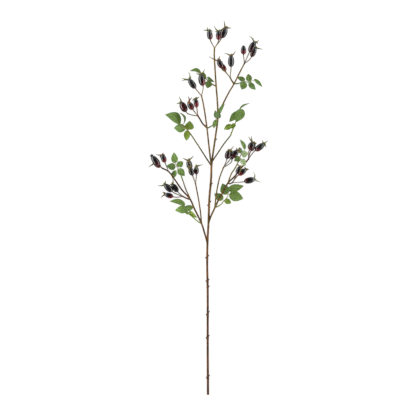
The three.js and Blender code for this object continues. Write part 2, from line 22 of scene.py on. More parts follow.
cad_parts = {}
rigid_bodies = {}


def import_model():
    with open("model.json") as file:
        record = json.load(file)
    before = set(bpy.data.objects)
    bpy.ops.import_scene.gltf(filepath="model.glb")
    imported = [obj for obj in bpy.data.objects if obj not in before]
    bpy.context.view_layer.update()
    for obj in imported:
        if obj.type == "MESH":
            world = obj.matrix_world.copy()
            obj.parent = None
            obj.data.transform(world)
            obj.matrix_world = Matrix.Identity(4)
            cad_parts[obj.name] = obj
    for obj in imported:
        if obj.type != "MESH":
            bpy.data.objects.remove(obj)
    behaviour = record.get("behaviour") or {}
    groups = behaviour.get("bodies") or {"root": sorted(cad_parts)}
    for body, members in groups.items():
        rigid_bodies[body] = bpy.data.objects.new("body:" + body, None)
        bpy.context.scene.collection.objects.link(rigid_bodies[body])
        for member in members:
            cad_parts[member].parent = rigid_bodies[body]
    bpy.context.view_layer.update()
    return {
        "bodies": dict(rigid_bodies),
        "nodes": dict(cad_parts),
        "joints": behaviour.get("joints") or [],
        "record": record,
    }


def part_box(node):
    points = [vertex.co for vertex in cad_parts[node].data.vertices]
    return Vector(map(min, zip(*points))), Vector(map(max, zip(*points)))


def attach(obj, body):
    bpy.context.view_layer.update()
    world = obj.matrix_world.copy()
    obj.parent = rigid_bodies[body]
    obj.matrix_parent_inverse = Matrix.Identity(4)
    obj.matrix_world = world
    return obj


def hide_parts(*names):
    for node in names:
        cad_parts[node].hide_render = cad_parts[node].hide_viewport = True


log = logging.getLogger("sprig")

Point = tuple[float, float, float]
Rgb = tuple[float, float, float]

MM = 0.001
MIDDLE = np.array((0.5, 375.0, 0.0))  # the frame's origin, in the growth plan
UP = np.array((0.0, 0.0, 1.0))
GOLDEN_TURN = math.pi * (3 - math.sqrt(5))
SPAN_STEPS = 24  # how finely a curve is worked out between two points of its route
BEND_STEPS = 32  # how finely a Bezier curve is worked out


# ---- Small geometry ----


def rgb(code: str) -> Rgb:
    """Turns a display colour into the linear one that shaders use.

    Args:
        code: The colour, as six hexadecimal digits.

    Returns:
        The linear red, green and blue.
    """
    parts = [int(code[i : i + 2], 16) / 255 for i in (0, 2, 4)]
    return tuple(c / 12.92 if c <= 0.04045 else ((c + 0.055) / 1.055) ** 2.4 for c in parts)


def unit(vector: np.ndarray) -> np.ndarray:
    """Returns the vector with a length of one."""
    return vector / np.linalg.norm(vector)


def pointing(heading: float, rise: float) -> np.ndarray:
    """Gives the direction with a heading and a rise.

    Args:
        heading: Degrees counter-clockwise from +X.
        rise: Degrees above the level.

    Returns:
        The unit vector.
    """
    turn, lift = math.radians(heading), math.radians(rise)
    return np.array((math.cos(lift) * math.cos(turn), math.cos(lift) * math.sin(turn), math.sin(lift)))


def evenly(line: np.ndarray, count: int) -> np.ndarray:
    """Puts evenly spaced points on a polyline.

    Args:
        line: The polyline's points.
        count: How many points to return.

    Returns:
        The new points, from the polyline's start to its end.
    """
    reach = np.concatenate(([0.0], np.cumsum(np.linalg.norm(np.diff(line, axis=0), axis=1))))
    places = np.linspace(0.0, reach[-1], count)
    return np.stack([np.interp(places, reach, line[:, k]) for k in range(3)], axis=1)


def through(route: Sequence[Point], count: int) -> np.ndarray:
    """Runs a smooth curve through the points of a route, as the frame's stems do.

    Args:
        route: The points, in the growth plan.
        count: How many evenly spaced points to return.

    Returns:
        The points, in the growth plan.
    """
    knots = np.array(route, float)
    knots = np.vstack((2 * knots[0] - knots[1], knots, 2 * knots[-1] - knots[-2]))
    fine = []
    for i in range(1, len(knots) - 2):
        p0, p1, p2, p3 = knots[i - 1 : i + 3]
        d0, d1, d2 = (math.sqrt(np.linalg.norm(b - a)) for a, b in ((p0, p1), (p1, p2), (p2, p3)))
        start = ((p1 - p0) / d0 - (p2 - p0) / (d0 + d1) + (p2 - p1) / d1) * d1
        end = ((p2 - p1) / d1 - (p3 - p1) / (d1 + d2) + (p3 - p2) / d2) * d1
        for t in np.linspace(0, 1, SPAN_STEPS, endpoint=False):
            square, cube = t * t, t * t * t
            fine.append(
                (2 * cube - 3 * square + 1) * p1
                + (cube - 2 * square + t) * start
                + (3 * square - 2 * cube) * p2
                + (cube - square) * end
            )
    fine.append(knots[-2])
    return evenly(np.array(fine), count)


def bent(start: np.ndarray, middle: np.ndarray, end: np.ndarray, count: int) -> np.ndarray:
    """Gives a quadratic Bezier curve.

    Args:
        start: Its first point.
        middle: The point that it bends towards.
        end: Its last point.
        count: How many evenly spaced points to return.

    Returns:
        The points.
    """
    t = np.linspace(0, 1, BEND_STEPS)[:, None]
    return evenly((1 - t) ** 2 * start + 2 * t * (1 - t) * middle + t**2 * end, count)


# ---- Growth plan ----


class Tone(Enum):
    """The greens of a leaflet's face that shows; one of them is lightened as painted light."""

    FRESH = "779b56"
    DEEP = "688c4e"
    BRIGHT = "83ab60"
    SAGE = "759668"
    MINT = "bcdcac"
    LIME = "708e30"
    # a lime lightened to make up for the shade of a leaflet that tilts away from the lights: painted light
    PEAR = "8eaf48"


@dataclass(frozen=True)
class StemPlan:
    """One woody piece.

    Attributes:
        route: The points that its core runs through.
        radii: Its radius at its foot and at its end.
        bark: The bark's colours, from its foot to its end.
        buds: Its buds, each with a height up the sprig and a side: -1 left, 1 right.
        knob: Whether it ends in the knob that hips grow from.
    """

    route: tuple[Point, ...]
    radii: tuple[float, float]
    bark: tuple[str, ...]
    buds: tuple[tuple[float, int], ...] = ()
    knob: bool = False


@dataclass(frozen=True)
class HipPlan:
    """One hip of a group.

    Attributes:
        base: The foot of its fruit.
        heading: Where the fruit points.
        rise: How far it points up.
        long: The fruit's length.
        wide: The fruit's width.
        sepals: The headings and lengths of the sepals that spread sideways.
        root: Where its stalk starts, if not at the knob.
        bare: Whether it is young, pointed and without sepals.
        blush: The share of the fruit that its red reaches, from its base.
        side: Where its red reaches highest, in degrees round the fruit from its top, or nothing if it's even.
        red: The colour of that red.
        rust: How brown its sepals are, from 0, olive, to 1, orange-brown.
        fade: How withered its sepals are, from -1, ash grey, over 0 to 1, cream.
        cloak: Sepals laid back over the fruit, each with its turn from the top and its length.
        stalk: The stalk's colour.
    """

    base: Point
    heading: float
    rise: float
    long: float
    wide: float
    sepals: tuple[tuple[float, float], ...] = ()
    root: Point | None = None
    bare: bool = False
    blush: float = 0.25
    side: float | None = None
    red: str = "5c1018"
    rust: float = 0.3
    fade: float = 0.0
    cloak: tuple[tuple[float, float], ...] = ()
    stalk: str = "93805d"


@dataclass(frozen=True)
class LeafletPlan:
    """One leaflet.

    Attributes:
        base: Where its midrib starts.
        tip: Where its midrib ends.
        wide: Its width.
        roll: Degrees by which its right edge is lifted, seen from its base.
        arch: How far its midrib arches.
        tone: The green of its face.
    """

    base: Point
    tip: Point
    wide: float
    roll: float = 0.0
    arch: float = 1.0
    tone: Tone = Tone.FRESH


@dataclass(frozen=True)
class LeafPlan:
    """One compound leaf.

    Attributes:
        rachis: The route of its green stalk.
        leaflets: Its five leaflets.
        stalk: The stalk's colour at its foot and at its end.
    """

    rachis: tuple[Point, ...]
    leaflets: tuple[LeafletPlan, ...]
    stalk: tuple[str, str]


TRUNK = "main_stem"
TAN_BARK = ("8f6e44", "92764e")
STEMS: dict[str, StemPlan] = {
    TRUNK: StemPlan(
        ((0, 0, 2), (-0.6, 100, 3.6), (-0.6, 207, 8), (-1.6, 262, 11), (-1, 305, 13), (1, 346, 15),
         (3, 398, 17.5), (6, 430, 18.5), (7, 462, 19.5)),
        (2.3, 2.1),
        ("6c452f", "7b5030", "9f7a48"),
        buds=((33, -1), (38, 1), (113, -1), (117, 1), (159, -1), (165, 1), (217, 1), (227, -1), (230, 1),
              (274, -1), (278, 1), (380, -1), (387, 1), (423, 1)),
    ),
    "centre_shoot": StemPlan(
        ((7, 462, 19.5), (9.6, 481, 20.5), (15.4, 521, 22), (19.5, 553, 23), (18.9, 585, 24), (16.4, 617, 24),
         (13.9, 655, 23.5), (12.5, 681, 23), (13, 695, 23)),
        (1.85, 1.5),
        ("8d6e3c", "957b3c"),
        buds=((512, 1),),
        knob=True,
    ),
    "left_shoot": StemPlan(
        ((7, 462, 19.5), (4.5, 477, 20.5), (1, 507, 22), (-2, 534, 24), (-5, 556, 25.5), (-9, 581, 26),
         (-13, 599, 26)),
        (1.7, 1.45),
        TAN_BARK,
        knob=True,
    ),
    "right_shoot": StemPlan(
        ((19.5, 553, 23), (24, 571, 25), (29.6, 582.2, 26), (41.5, 605.3, 27), (52, 623, 27), (64, 647, 26),
         (73, 664, 25)),
        (1.6, 1.35),
        ("957343", "8d7630"),
        knob=True,
    ),
    "middle_right_twig": StemPlan(
        ((52, 623, 27), (47, 630, 29), (44, 636, 30)), (1.6, 1.5), ("816f2c", "8d7a3c"), knob=True,
    ),
    "middle_left_twig": StemPlan(
        ((-2.5, 536, 24), (-11, 544, 22), (-15, 551, 20), (-20, 559, 19)),
        (1.6, 1.45),
        ("7f5c3c", "6a3424"),
        knob=True,
    ),
    "left_lower_branch": StemPlan(
        ((-1, 305, 13), (-7, 325, 14), (-13, 344, 15), (-27, 373, 16), (-36, 393, 16.5), (-52, 411, 17),
         (-68, 434, 16), (-79, 448, 14), (-91, 454.5, 12)),
        (1.85, 1.45),
        ("7c5c34", "6e4228"),
        knob=True,
    ),
    "left_inner_branch": StemPlan(
        ((-13, 344, 15), (-15, 366, 19), (-19, 393, 23), (-23, 414, 26), (-25, 424, 27)),
        (1.4, 1.25),
        ("87683c", "866238"),
        knob=True,
    ),
    "low_left_twig": StemPlan(
        ((-36, 392.5, 16.5), (-42, 394, 14.5), (-50, 398, 12)), (1.5, 1.4), ("765a30", "74522e"), knob=True,
    ),
    "right_lower_branch": StemPlan(
        ((1, 346, 15), (6, 359, 16.5), (14, 376, 18), (23, 395, 19.5), (30, 407, 20), (40, 425, 20),
         (53, 438, 18.5), (69, 458, 16), (81, 473, 14)),
        (1.8, 1.4),
        ("86683a", "6e4a24"),
        knob=True,
    ),
    "right_inner_branch": StemPlan(
        ((14, 376, 18), (15, 390, 21), (17, 405, 24), (20, 422, 27), (24, 438, 29), (31, 456, 30)),
        (1.5, 1.3),
        ("857646", "7e6a44"),
        knob=True,
    ),
    "low_right_twig": StemPlan(
        ((40, 425, 20), (44, 423.5, 22.5), (49, 426, 25)), (1.35, 1.25), ("6c4a30", "704e34"), knob=True,
    ),
    "left_leaf_stalk": StemPlan(
        ((6, 461, 19), (-1, 471, 18.5), (-15, 493, 16), (-34, 522, 12.5)), (1.4, 1.2), ("6f5c32", "74782c"),
    ),
    "right_leaf_stalk": StemPlan(
        ((8, 468, 20), (17, 481, 18.5), (31, 502, 15), (45, 520, 12.5)), (1.4, 1.2), ("7a6038", "788236"),
    ),
    "outer_left_leaf_stalk": StemPlan(
        ((-36, 393, 16.5), (-39, 401, 18.5), (-43, 409, 20), (-47, 420, 22), (-51, 432, 23)),
        (1.3, 1.2),
        ("8a6844", "80744a"),
    ),
    "outer_right_leaf_stalk": StemPlan(
        ((40, 425, 20), (43, 434, 22), (47, 444, 23), (53, 453, 23.5), (57, 460, 23.5)),
        (1.4, 1.25),
        ("9c8a46", "90944a"),
    ),
}

HIPS: dict[str, tuple[str, tuple[HipPlan, ...]]] = {
    "crown": ("centre_shoot", (
        HipPlan((4.7, 711.5, 26), 98, 10, 19, 11.8, ((119, 7), (180, 12), (336, 8)), blush=0.42, side=75,
                red="6e141c", rust=0.05, stalk="8d8062"),
        HipPlan((21, 712, 8), 90, -6, 18.5, 10.5, ((130, 14), (200, 7), (25, 8)), blush=0.4, side=0,
                red="7a1218", rust=0.0, stalk="9a8450"),
        HipPlan((27, 715, 22), 67, 5, 23.5, 14, ((109, 14.5), (350, 11)), blush=0.2, side=-60,
                red="5a1014", rust=0.45, cloak=((-38, 11),), stalk="9a8450"),
    )),
    "top_right": ("right_shoot", (
        HipPlan((71, 682, 24), 90, 8, 18, 10.8, bare=True, blush=0.34, red="7d1a22", stalk="9d917a"),
        HipPlan((83, 686.5, 24), 63, 6, 23.5, 13, ((137, 17), (110, 8), (19, 9), (320, 8)), blush=0.5,
                side=-15, red="3c0e12", rust=0.1, stalk="9d917c"),
        HipPlan((87, 678, 8), 66, -6, 21, 11, ((343, 15),), blush=0.42, side=-30, red="4c1014",
                stalk="8f7a66"),
    )),
    "middle_right": ("middle_right_twig", (
        HipPlan((46, 656.5, 30), 90, 5, 23.5, 12.6, ((168, 14), (45, 12)), blush=-0.2, rust=0.5,
                stalk="a3966e"),
        HipPlan((29, 654, 31), 120, 8, 19, 11.5, ((159, 19), (63, 9), (352, 7)), blush=0.32, side=-25,
                red="5c1016", rust=0.75, stalk="85743c"),
        HipPlan((35, 648.5, 19), 118, -8, 17, 10, ((80, 6),), blush=0.4, side=30, red="8e2418", rust=0.2,
                stalk="85743c"),
    )),
    "top_left": ("left_shoot", (
        HipPlan((-10, 619, 26), 101, 3, 24, 14, ((50, 13), (178, 10)), blush=0.4, side=72, red="7c1620",
                stalk="a3966e"),
        HipPlan((-25, 614, 25), 126, 4, 23, 12, ((92, 14.5), (174, 14.5), (198, 15), (39, 7)), blush=-0.15,
                rust=0.0, stalk="957a55"),
        HipPlan((-25.5, 615, 11), 126, -6, 20, 10, rust=0.1, stalk="957a55"),
    )),
    "middle_left": ("middle_left_twig", (
        HipPlan((-44, 568, 7.6), 118, -2, 22, 14, ((108, 12), (201, 9.5)), blush=0.8, red="4c1014",
                rust=0.15, stalk="857a50"),
        HipPlan((-30, 572, 17), 122, 6, 18, 12, ((93, 12), (48, 12), (300, 9)), blush=0.42, side=25,
                red="7a1822", rust=1.0, cloak=((10, 8),), stalk="857050"),
        HipPlan((-22.5, 576, 21), 98, 5, 18, 10, ((25, 9), (222, 8)), blush=0.5, side=20, red="8e1c26",
                rust=0.1, stalk="9a6a57"),
    )),
    "outer_left": ("left_lower_branch", (
        HipPlan((-97.5, 459.5, 18.6), 128, -3, 25, 13.4, ((100, 4),), blush=0.22, side=10, red="5c1420",
                fade=-0.85, stalk="7d5238"),
        HipPlan((-95, 457.5, 6), 150, -1, 16, 10, ((219, 14), (243, 6)), blush=0.6, side=-50, red="6e161c",
                rust=0.35, stalk="7d5238"),
        HipPlan((-86, 466, 19), 109, 8, 17, 10.8, ((178, 13.5), (242, 8), (349, 5.5)), root=(-79, 448, 14),
                blush=0.46, side=45, red="861420", rust=0.9, stalk="a08f86"),
    )),
    "low_left": ("low_left_twig", (
        HipPlan((-71.5, 408, 18), 138, 4, 21.5, 12.6, ((190, 14), (66, 8.5)), blush=-0.2, rust=0.1,
                stalk="8d8266"),
        HipPlan((-60.5, 407.5, 10), 126, -4, 19.5, 11.8, ((84, 12), (174, 5)), blush=-0.05, red="481019",
                rust=0.1, stalk="8d8266"),
        HipPlan((-70, 397.5, 5.8), 162, -2, 18, 10.5, ((228, 11.5), (145, 6)), blush=0.38, side=-62,
                red="861a1c", stalk="94786a"),
    )),
    "inner_left": ("left_inner_branch", (
        HipPlan((-35, 452, 20), 103, 3, 20, 12, ((163, 12.5), (38, 13.5)), blush=-0.2, cloak=((6, 13),),
                stalk="a39c88"),
        HipPlan((-30.5, 440, 33), 110, 5, 17, 11, ((40, 5), (160, 7)), blush=0.1, red="3c1420",
                cloak=((-35, 9),), stalk="a39c88"),
        HipPlan((-23, 442, 30), 92, 6, 17, 10, ((13, 14),), blush=0.32, red="48161c", rust=0.2,
                cloak=((0, 7),), stalk="a39c88"),
    )),
    "inner_right": ("right_inner_branch", (
        HipPlan((37.5, 472.5, 36), 78, 6, 18, 11.5, ((40, 14),), blush=0.6, red="38181e", rust=0.45,
                stalk="9a9082"),
        HipPlan((48, 472, 14), 95, 0, 16, 10, blush=0.3, stalk="9a9082"),
        HipPlan((46.8, 475, 33), 50, 4, 20, 12.4, ((20, 6), (120, 6)), blush=0.5, side=30, red="440f14",
                rust=0.75, stalk="9a9082"),
    )),
    "outer_right": ("right_lower_branch", (
        HipPlan((83, 491.5, 18), 65, 8, 17, 13, ((130, 15), (105, 13.5), (345, 8)), blush=0.3, side=-10,
                red="5c1216", stalk="9c8274"),
        HipPlan((86, 489.5, 5.8), 62, -3, 16, 10, blush=0.4, stalk="7d5a4a"),
        HipPlan((94.5, 490, 17), 37, 4, 22.5, 12.6, ((40, 10), (119, 8.5), (297, 8.5)), blush=0.3, side=45,
                red="701820", stalk="9f948c"),
    )),
    "low_right": ("low_right_twig", (
        HipPlan((57.5, 443, 32), 65, 6, 16.5, 10.5, ((150, 9),), blush=0.15, red="481019",
                cloak=((30, 13),), stalk="7d6a50"),
        HipPlan((61, 441, 21), 38, -4, 19.5, 11, ((133, 6), (0, 6)), blush=0.36, side=50, red="84161e",
                stalk="8d6a5a"),
        HipPlan((72.5, 428, 7.4), 13, -3, 22.5, 12.6, ((105, 15.5), (92, 11), (330, 14)), blush=0.26,
                side=-40, red="5c1418", rust=0.0, fade=1.0, stalk="a59a92"),
    )),
}

LEAVES: dict[str, LeafPlan] = {
    "centre_leaf": LeafPlan(
        ((17, 618, 24), (12, 620.5, 21), (6, 624.5, 16), (-2, 632, 12.5), (-8, 638.5, 10.5),
         (-14, 644.5, 9.5)),
        (
            LeafletPlan((3, 629, 19.5), (-1.5, 614.5, 17), 14),
            LeafletPlan((-1, 637.5, 13), (13, 627, 17), 7.5, roll=-30, arch=1.5, tone=Tone.DEEP),
            LeafletPlan((-5.5, 633, 12), (-9.5, 648, 8), 7, tone=Tone.LIME),
            LeafletPlan((-9, 638, 10), (-20, 636, 5), 8),
            LeafletPlan((-14, 645, 11), (-36.5, 649.5, 12), 14.5, roll=-50, arch=3.8, tone=Tone.DEEP),
        ),
        ("7d6c2e", "7f9458"),
    ),
    "top_right_leaf": LeafPlan(
        ((52, 623, 27), (62, 624, 25), (71, 628.5, 21), (81, 626.5, 17), (92, 631, 14)),
        (
            LeafletPlan((74, 630.5, 20), (58.5, 637, 15), 9.5, tone=Tone.DEEP),
            LeafletPlan((74, 627, 20), (67.5, 612, 15), 14.5),
            LeafletPlan((83, 627.5, 16.5), (80.5, 644, 12), 12.5),
            LeafletPlan((81.5, 625.5, 16), (95.5, 612, 9), 11, tone=Tone.DEEP),
            LeafletPlan((92.5, 633, 13.5), (109, 617.5, 9), 8, roll=20, arch=1.5, tone=Tone.DEEP),
        ),
        ("5f7f3c", "c4c8aa"),
    ),
    "left_shoot_leaf": LeafPlan(
        ((-2, 534, 24.5), (4, 537, 28), (9, 540, 31), (15, 550, 33), (21, 557, 34)),
        (
            LeafletPlan((16, 551, 33), (11, 534, 30), 9),
            LeafletPlan((18, 554, 34), (14, 570, 37), 10, tone=Tone.SAGE),
            LeafletPlan((22, 554, 33), (24, 564, 35), 6, tone=Tone.SAGE),
            LeafletPlan((20, 557, 32), (22, 569, 31), 7),
            LeafletPlan((21.5, 561, 35), (33.5, 583, 38), 10, roll=40, arch=1.5, tone=Tone.DEEP),
        ),
        ("5f7f3c", "6f8a4c"),
    ),
    "left_leaf": LeafPlan(
        ((-34, 522, 12.5), (-43, 533, 11), (-52, 540, 10), (-55, 542, 9.5)),
        (
            LeafletPlan((-55.5, 544, 9), (-86.5, 562.5, 8), 24, roll=-34, arch=8),
            LeafletPlan((-48.5, 543.5, 10), (-58, 567, 14), 15, roll=-74, arch=5, tone=Tone.DEEP),
            LeafletPlan((-45, 534.5, 9.5), (-68.5, 536, 0.6), 17.5),
            LeafletPlan((-38, 532, 12), (-36.5, 549.5, 18), 18.5, tone=Tone.LIME),
            LeafletPlan((-41, 531, 11), (-43.5, 510, 3), 13, tone=Tone.PEAR),
        ),
        ("7d8a3a", "b8a878"),
    ),
    "right_leaf": LeafPlan(
        ((45, 520, 12.5), (48, 528, 13), (51, 535, 13.5), (55, 545, 14), (58, 558, 14), (61, 569, 14)),
        (
            LeafletPlan((69.5, 572.5, 17.5), (55.5, 546.5, 17), 19, arch=2),
            LeafletPlan((61, 568, 13), (42.5, 547.5, 8), 13.5),
            LeafletPlan((63, 572.5, 16), (84.5, 585, 17), 13, roll=74, arch=1.2, tone=Tone.DEEP),
            LeafletPlan((47.5, 541.5, 13), (32, 532.5, 6), 11, tone=Tone.PEAR),
            LeafletPlan((53.5, 544.5, 16.5), (47.2, 533.5, 15.8), 8.5, tone=Tone.LIME),
        ),
        ("8c9c48", "c0b488"),
    ),
    "outer_left_leaf": LeafPlan(
        ((-51, 432, 23), (-53, 437, 21.5), (-55.5, 444, 20), (-59.5, 452, 20.5), (-62, 458, 21.5),
         (-65, 464, 22)),
        (
            LeafletPlan((-66, 465, 22), (-68, 486.5, 26), 13.5, tone=Tone.BRIGHT),
            LeafletPlan((-65, 457, 22), (-83.5, 459, 27), 14, tone=Tone.DEEP),
            LeafletPlan((-61, 458, 22), (-50, 468, 18), 13, tone=Tone.BRIGHT),
            LeafletPlan((-59.5, 453, 24), (-46.5, 439, 22), 14, tone=Tone.BRIGHT),
            LeafletPlan((-65, 450.5, 16), (-71.5, 434, 6), 10.5),
        ),
        ("7a9440", "c4b8a0"),
    ),
    "low_left_leaf": LeafPlan(
        ((-13, 344, 15), (-19, 347, 12.5), (-31, 357, 8), (-40, 364, 6.5), (-46, 372, 6), (-49, 380, 6)),
        (
            LeafletPlan((-45.5, 381, 6.8), (-77.5, 388.5, 4.5), 14.5, roll=-38, arch=4, tone=Tone.BRIGHT),
            LeafletPlan((-40, 370, 6), (-66.5, 370.5, 1), 17, roll=-24, arch=3, tone=Tone.BRIGHT),
            LeafletPlan((-47, 373, 6.8), (-27, 378, 9), 12),
            LeafletPlan((-37, 369.5, 8), (-21, 355.5, 7.5), 13, roll=-50, tone=Tone.PEAR),
            LeafletPlan((-38, 364, 6.5), (-46, 366, 5), 6, arch=0.5, tone=Tone.BRIGHT),
        ),
        ("9ab85c", "a2b468"),
    ),
    "outer_right_leaf": LeafPlan(
        ((57, 460, 23.5), (61, 468, 23.5), (63, 474, 23), (66, 482, 22), (72, 490, 21.5)),
        (
            LeafletPlan((64.5, 476, 22.5), (52, 469, 23), 12, tone=Tone.DEEP),
            LeafletPlan((65, 484, 21.5), (63, 497, 18), 9, tone=Tone.SAGE),
            LeafletPlan((73.8, 492, 21), (63.5, 512.5, 19), 9, roll=-30, arch=2.5),
            LeafletPlan((67, 482, 22), (81, 484.5, 26), 14, tone=Tone.MINT),
            LeafletPlan((67.5, 473.5, 23.5), (74.5, 458.5, 22), 11, tone=Tone.MINT),
        ),
        ("8f9850", "c0ac96"),
    ),
    "low_right_leaf": LeafPlan(
        ((14, 376, 18), (19, 378, 15.5), (27, 383, 10.5), (31, 388, 8), (38, 396, 7), (41, 404, 6.5)),
        (
            LeafletPlan((37, 402, 8), (29, 424.5, 5), 18.5, arch=1.5, tone=Tone.DEEP),
            LeafletPlan((39.8, 411.5, 7), (72, 419.5, 3), 15.5, arch=1.5),
            LeafletPlan((42.5, 402.5, 6), (71, 393.5, 0.6), 20.5, arch=1.5),
            LeafletPlan((30, 392, 8), (12.5, 404, 6), 15),
            LeafletPlan((33, 391.5, 7), (47, 384.5, 2), 11, arch=0.5, tone=Tone.PEAR),
        ),
        ("8aa04a", "c0b48a"),
    ),
}


# ---- Meshes ----


class Look(Enum):
    """What a surface is finished as, with the name of its material."""

    BARK = "rose_bark"
    CUT = "cut_wood"
    SKIN = "hip_skin"
    SEPAL = "sepal"
    BLADE_TOP = "blade_top"
    BLADE_UNDER = "blade_under"

    @property
    def material(self) -> bpy.types.Material:
        """The material itself, once its finish is built."""
        return bpy.data.materials[self.value]


@dataclass
class Part:
    """A mesh of one finish, not yet joined to the rest of its piece.

    Attributes:
        points: Its vertices, in metres.
        faces: The vertices round each face.
        uvs: A pair of numbers for each corner of each face.
        tints: The colour of each vertex.
        look: What it is finished as.
    """

    points: np.ndarray
    faces: list[tuple[int, ...]]
    uvs: np.ndarray
    tints: np.ndarray
    look: Look


def placed(points: np.ndarray) -> np.ndarray:
    """Returns points of the growth plan as points of the frame, in metres."""
    return (points - MIDDLE) * MM


def lattice(rows: int, columns: int, closed: bool) -> list[tuple[int, int, int, int]]:
    """Gives the faces of a grid of vertices, row by row.

    Args:
        rows: How many rows of vertices there are.
        columns: How many vertices a row has.
        closed: Whether the last column meets the first.

    Returns:
        The four vertices of each face.
    """
    spans = columns if closed else columns - 1
    faces = []
    for i in range(rows - 1):
        for j in range(spans):
            k = (j + 1) % columns
            faces.append((i * columns + j, i * columns + k, (i + 1) * columns + k, (i + 1) * columns + j))
    return faces


def make_piece(name: str, parts: Sequence[Part]) -> bpy.types.Object:
    """Joins parts into one piece.

    Args:
        name: The piece's name.
        parts: Its parts.

    Returns:
        The piece, linked to the scene.
    """
    starts = np.cumsum([0, *(len(part.points) for part in parts)])
    faces = [tuple(v + start for v in face) for part, start in zip(parts, starts) for face in part.faces]
    mesh = bpy.data.meshes.new(name)
    points = np.concatenate([part.points for part in parts])
    points[:, 2] = np.maximum(points[:, 2], 0.0)  # what lies on the floor is pressed flat there
    mesh.from_pydata(points.tolist(), [], faces)
    looks = list(dict.fromkeys(part.look for part in parts))
    for look in looks:
        mesh.materials.append(look.material)
    slots = np.concatenate([np.full(len(part.faces), looks.index(part.look)) for part in parts])
    mesh.polygons.foreach_set("material_index", slots.astype(np.int32))
    mesh.polygons.foreach_set("use_smooth", np.ones(len(faces), bool))
    layer = mesh.uv_layers.new(name="UVMap")
    layer.uv.foreach_set("vector", np.concatenate([part.uvs for part in parts]).astype(np.float32).ravel())
    tint = mesh.color_attributes.new("tint", "FLOAT_COLOR", "POINT")
    colours = np.concatenate([part.tints for part in parts])
    opaque = np.column_stack((colours, np.ones(len(colours)))).astype(np.float32)
    tint.data.foreach_set("color", opaque.ravel())
    mesh.validate()
    mesh.update()
    piece = bpy.data.objects.new(name, mesh)
    bpy.context.scene.collection.objects.link(piece)
    return piece


# ---- Node graphs ----


class Graph:
    """A node tree with short ways to add and join its nodes."""

    def __init__(self, tree: bpy.types.NodeTree) -> None:
        """Wraps a node tree."""
        self.tree = tree

    def join(self, socket: bpy.types.NodeSocket, value: object) -> None:
        """Joins a socket to an input, or gives the input a fixed value.

        Args:
            socket: The input.
            value: The socket or the value.
        """
        if isinstance(value, bpy.types.NodeSocket):
            self.tree.links.new(value, socket)
        else:
            socket.default_value = value

    def add(self, kind: str, inputs: dict[str | int, object] | None = None,
            **settings: object) -> bpy.types.Node:
        """Adds a node.

        Args:
            kind: The node's type.
            inputs: What its sockets, by name or number, hold or are joined to.
            **settings: Its own properties.

        Returns:
            The node.
        """
        node = self.tree.nodes.new(kind)
        for name, value in settings.items():
            setattr(node, name, value)
        for key, value in (inputs or {}).items():
            self.join(node.inputs[key], value)
        return node

    def sum(self, operation: str, first: object, second: object = 0.0,
            third: object = 0.0) -> bpy.types.NodeSocket:
        """Does arithmetic.

        Args:
            operation: The name of the operation.
            first: A number or a socket.
            second: Another.
            third: Another.

        Returns:
            The socket that holds the result.
        """
        inputs = {0: first, 1: second, 2: third}
        return self.add("ShaderNodeMath", inputs, operation=operation).outputs[0]

    def ease(self, value: object, low: object, high: object, to_low: float = 0.0,
             to_high: float = 1.0) -> bpy.types.NodeSocket:
        """Maps a value from one range to another, smoothly and without leaving it.

        Args:
            value: The value.
            low: The start of its range.
            high: The end of its range.
            to_low: What the start becomes.
            to_high: What the end becomes.

        Returns:
            The socket that holds the result.
        """
        inputs = {0: value, 1: low, 2: high, 3: to_low, 4: to_high}
        node = self.add("ShaderNodeMapRange", inputs, interpolation_type="SMOOTHSTEP", clamp=True)
        return node.outputs[0]


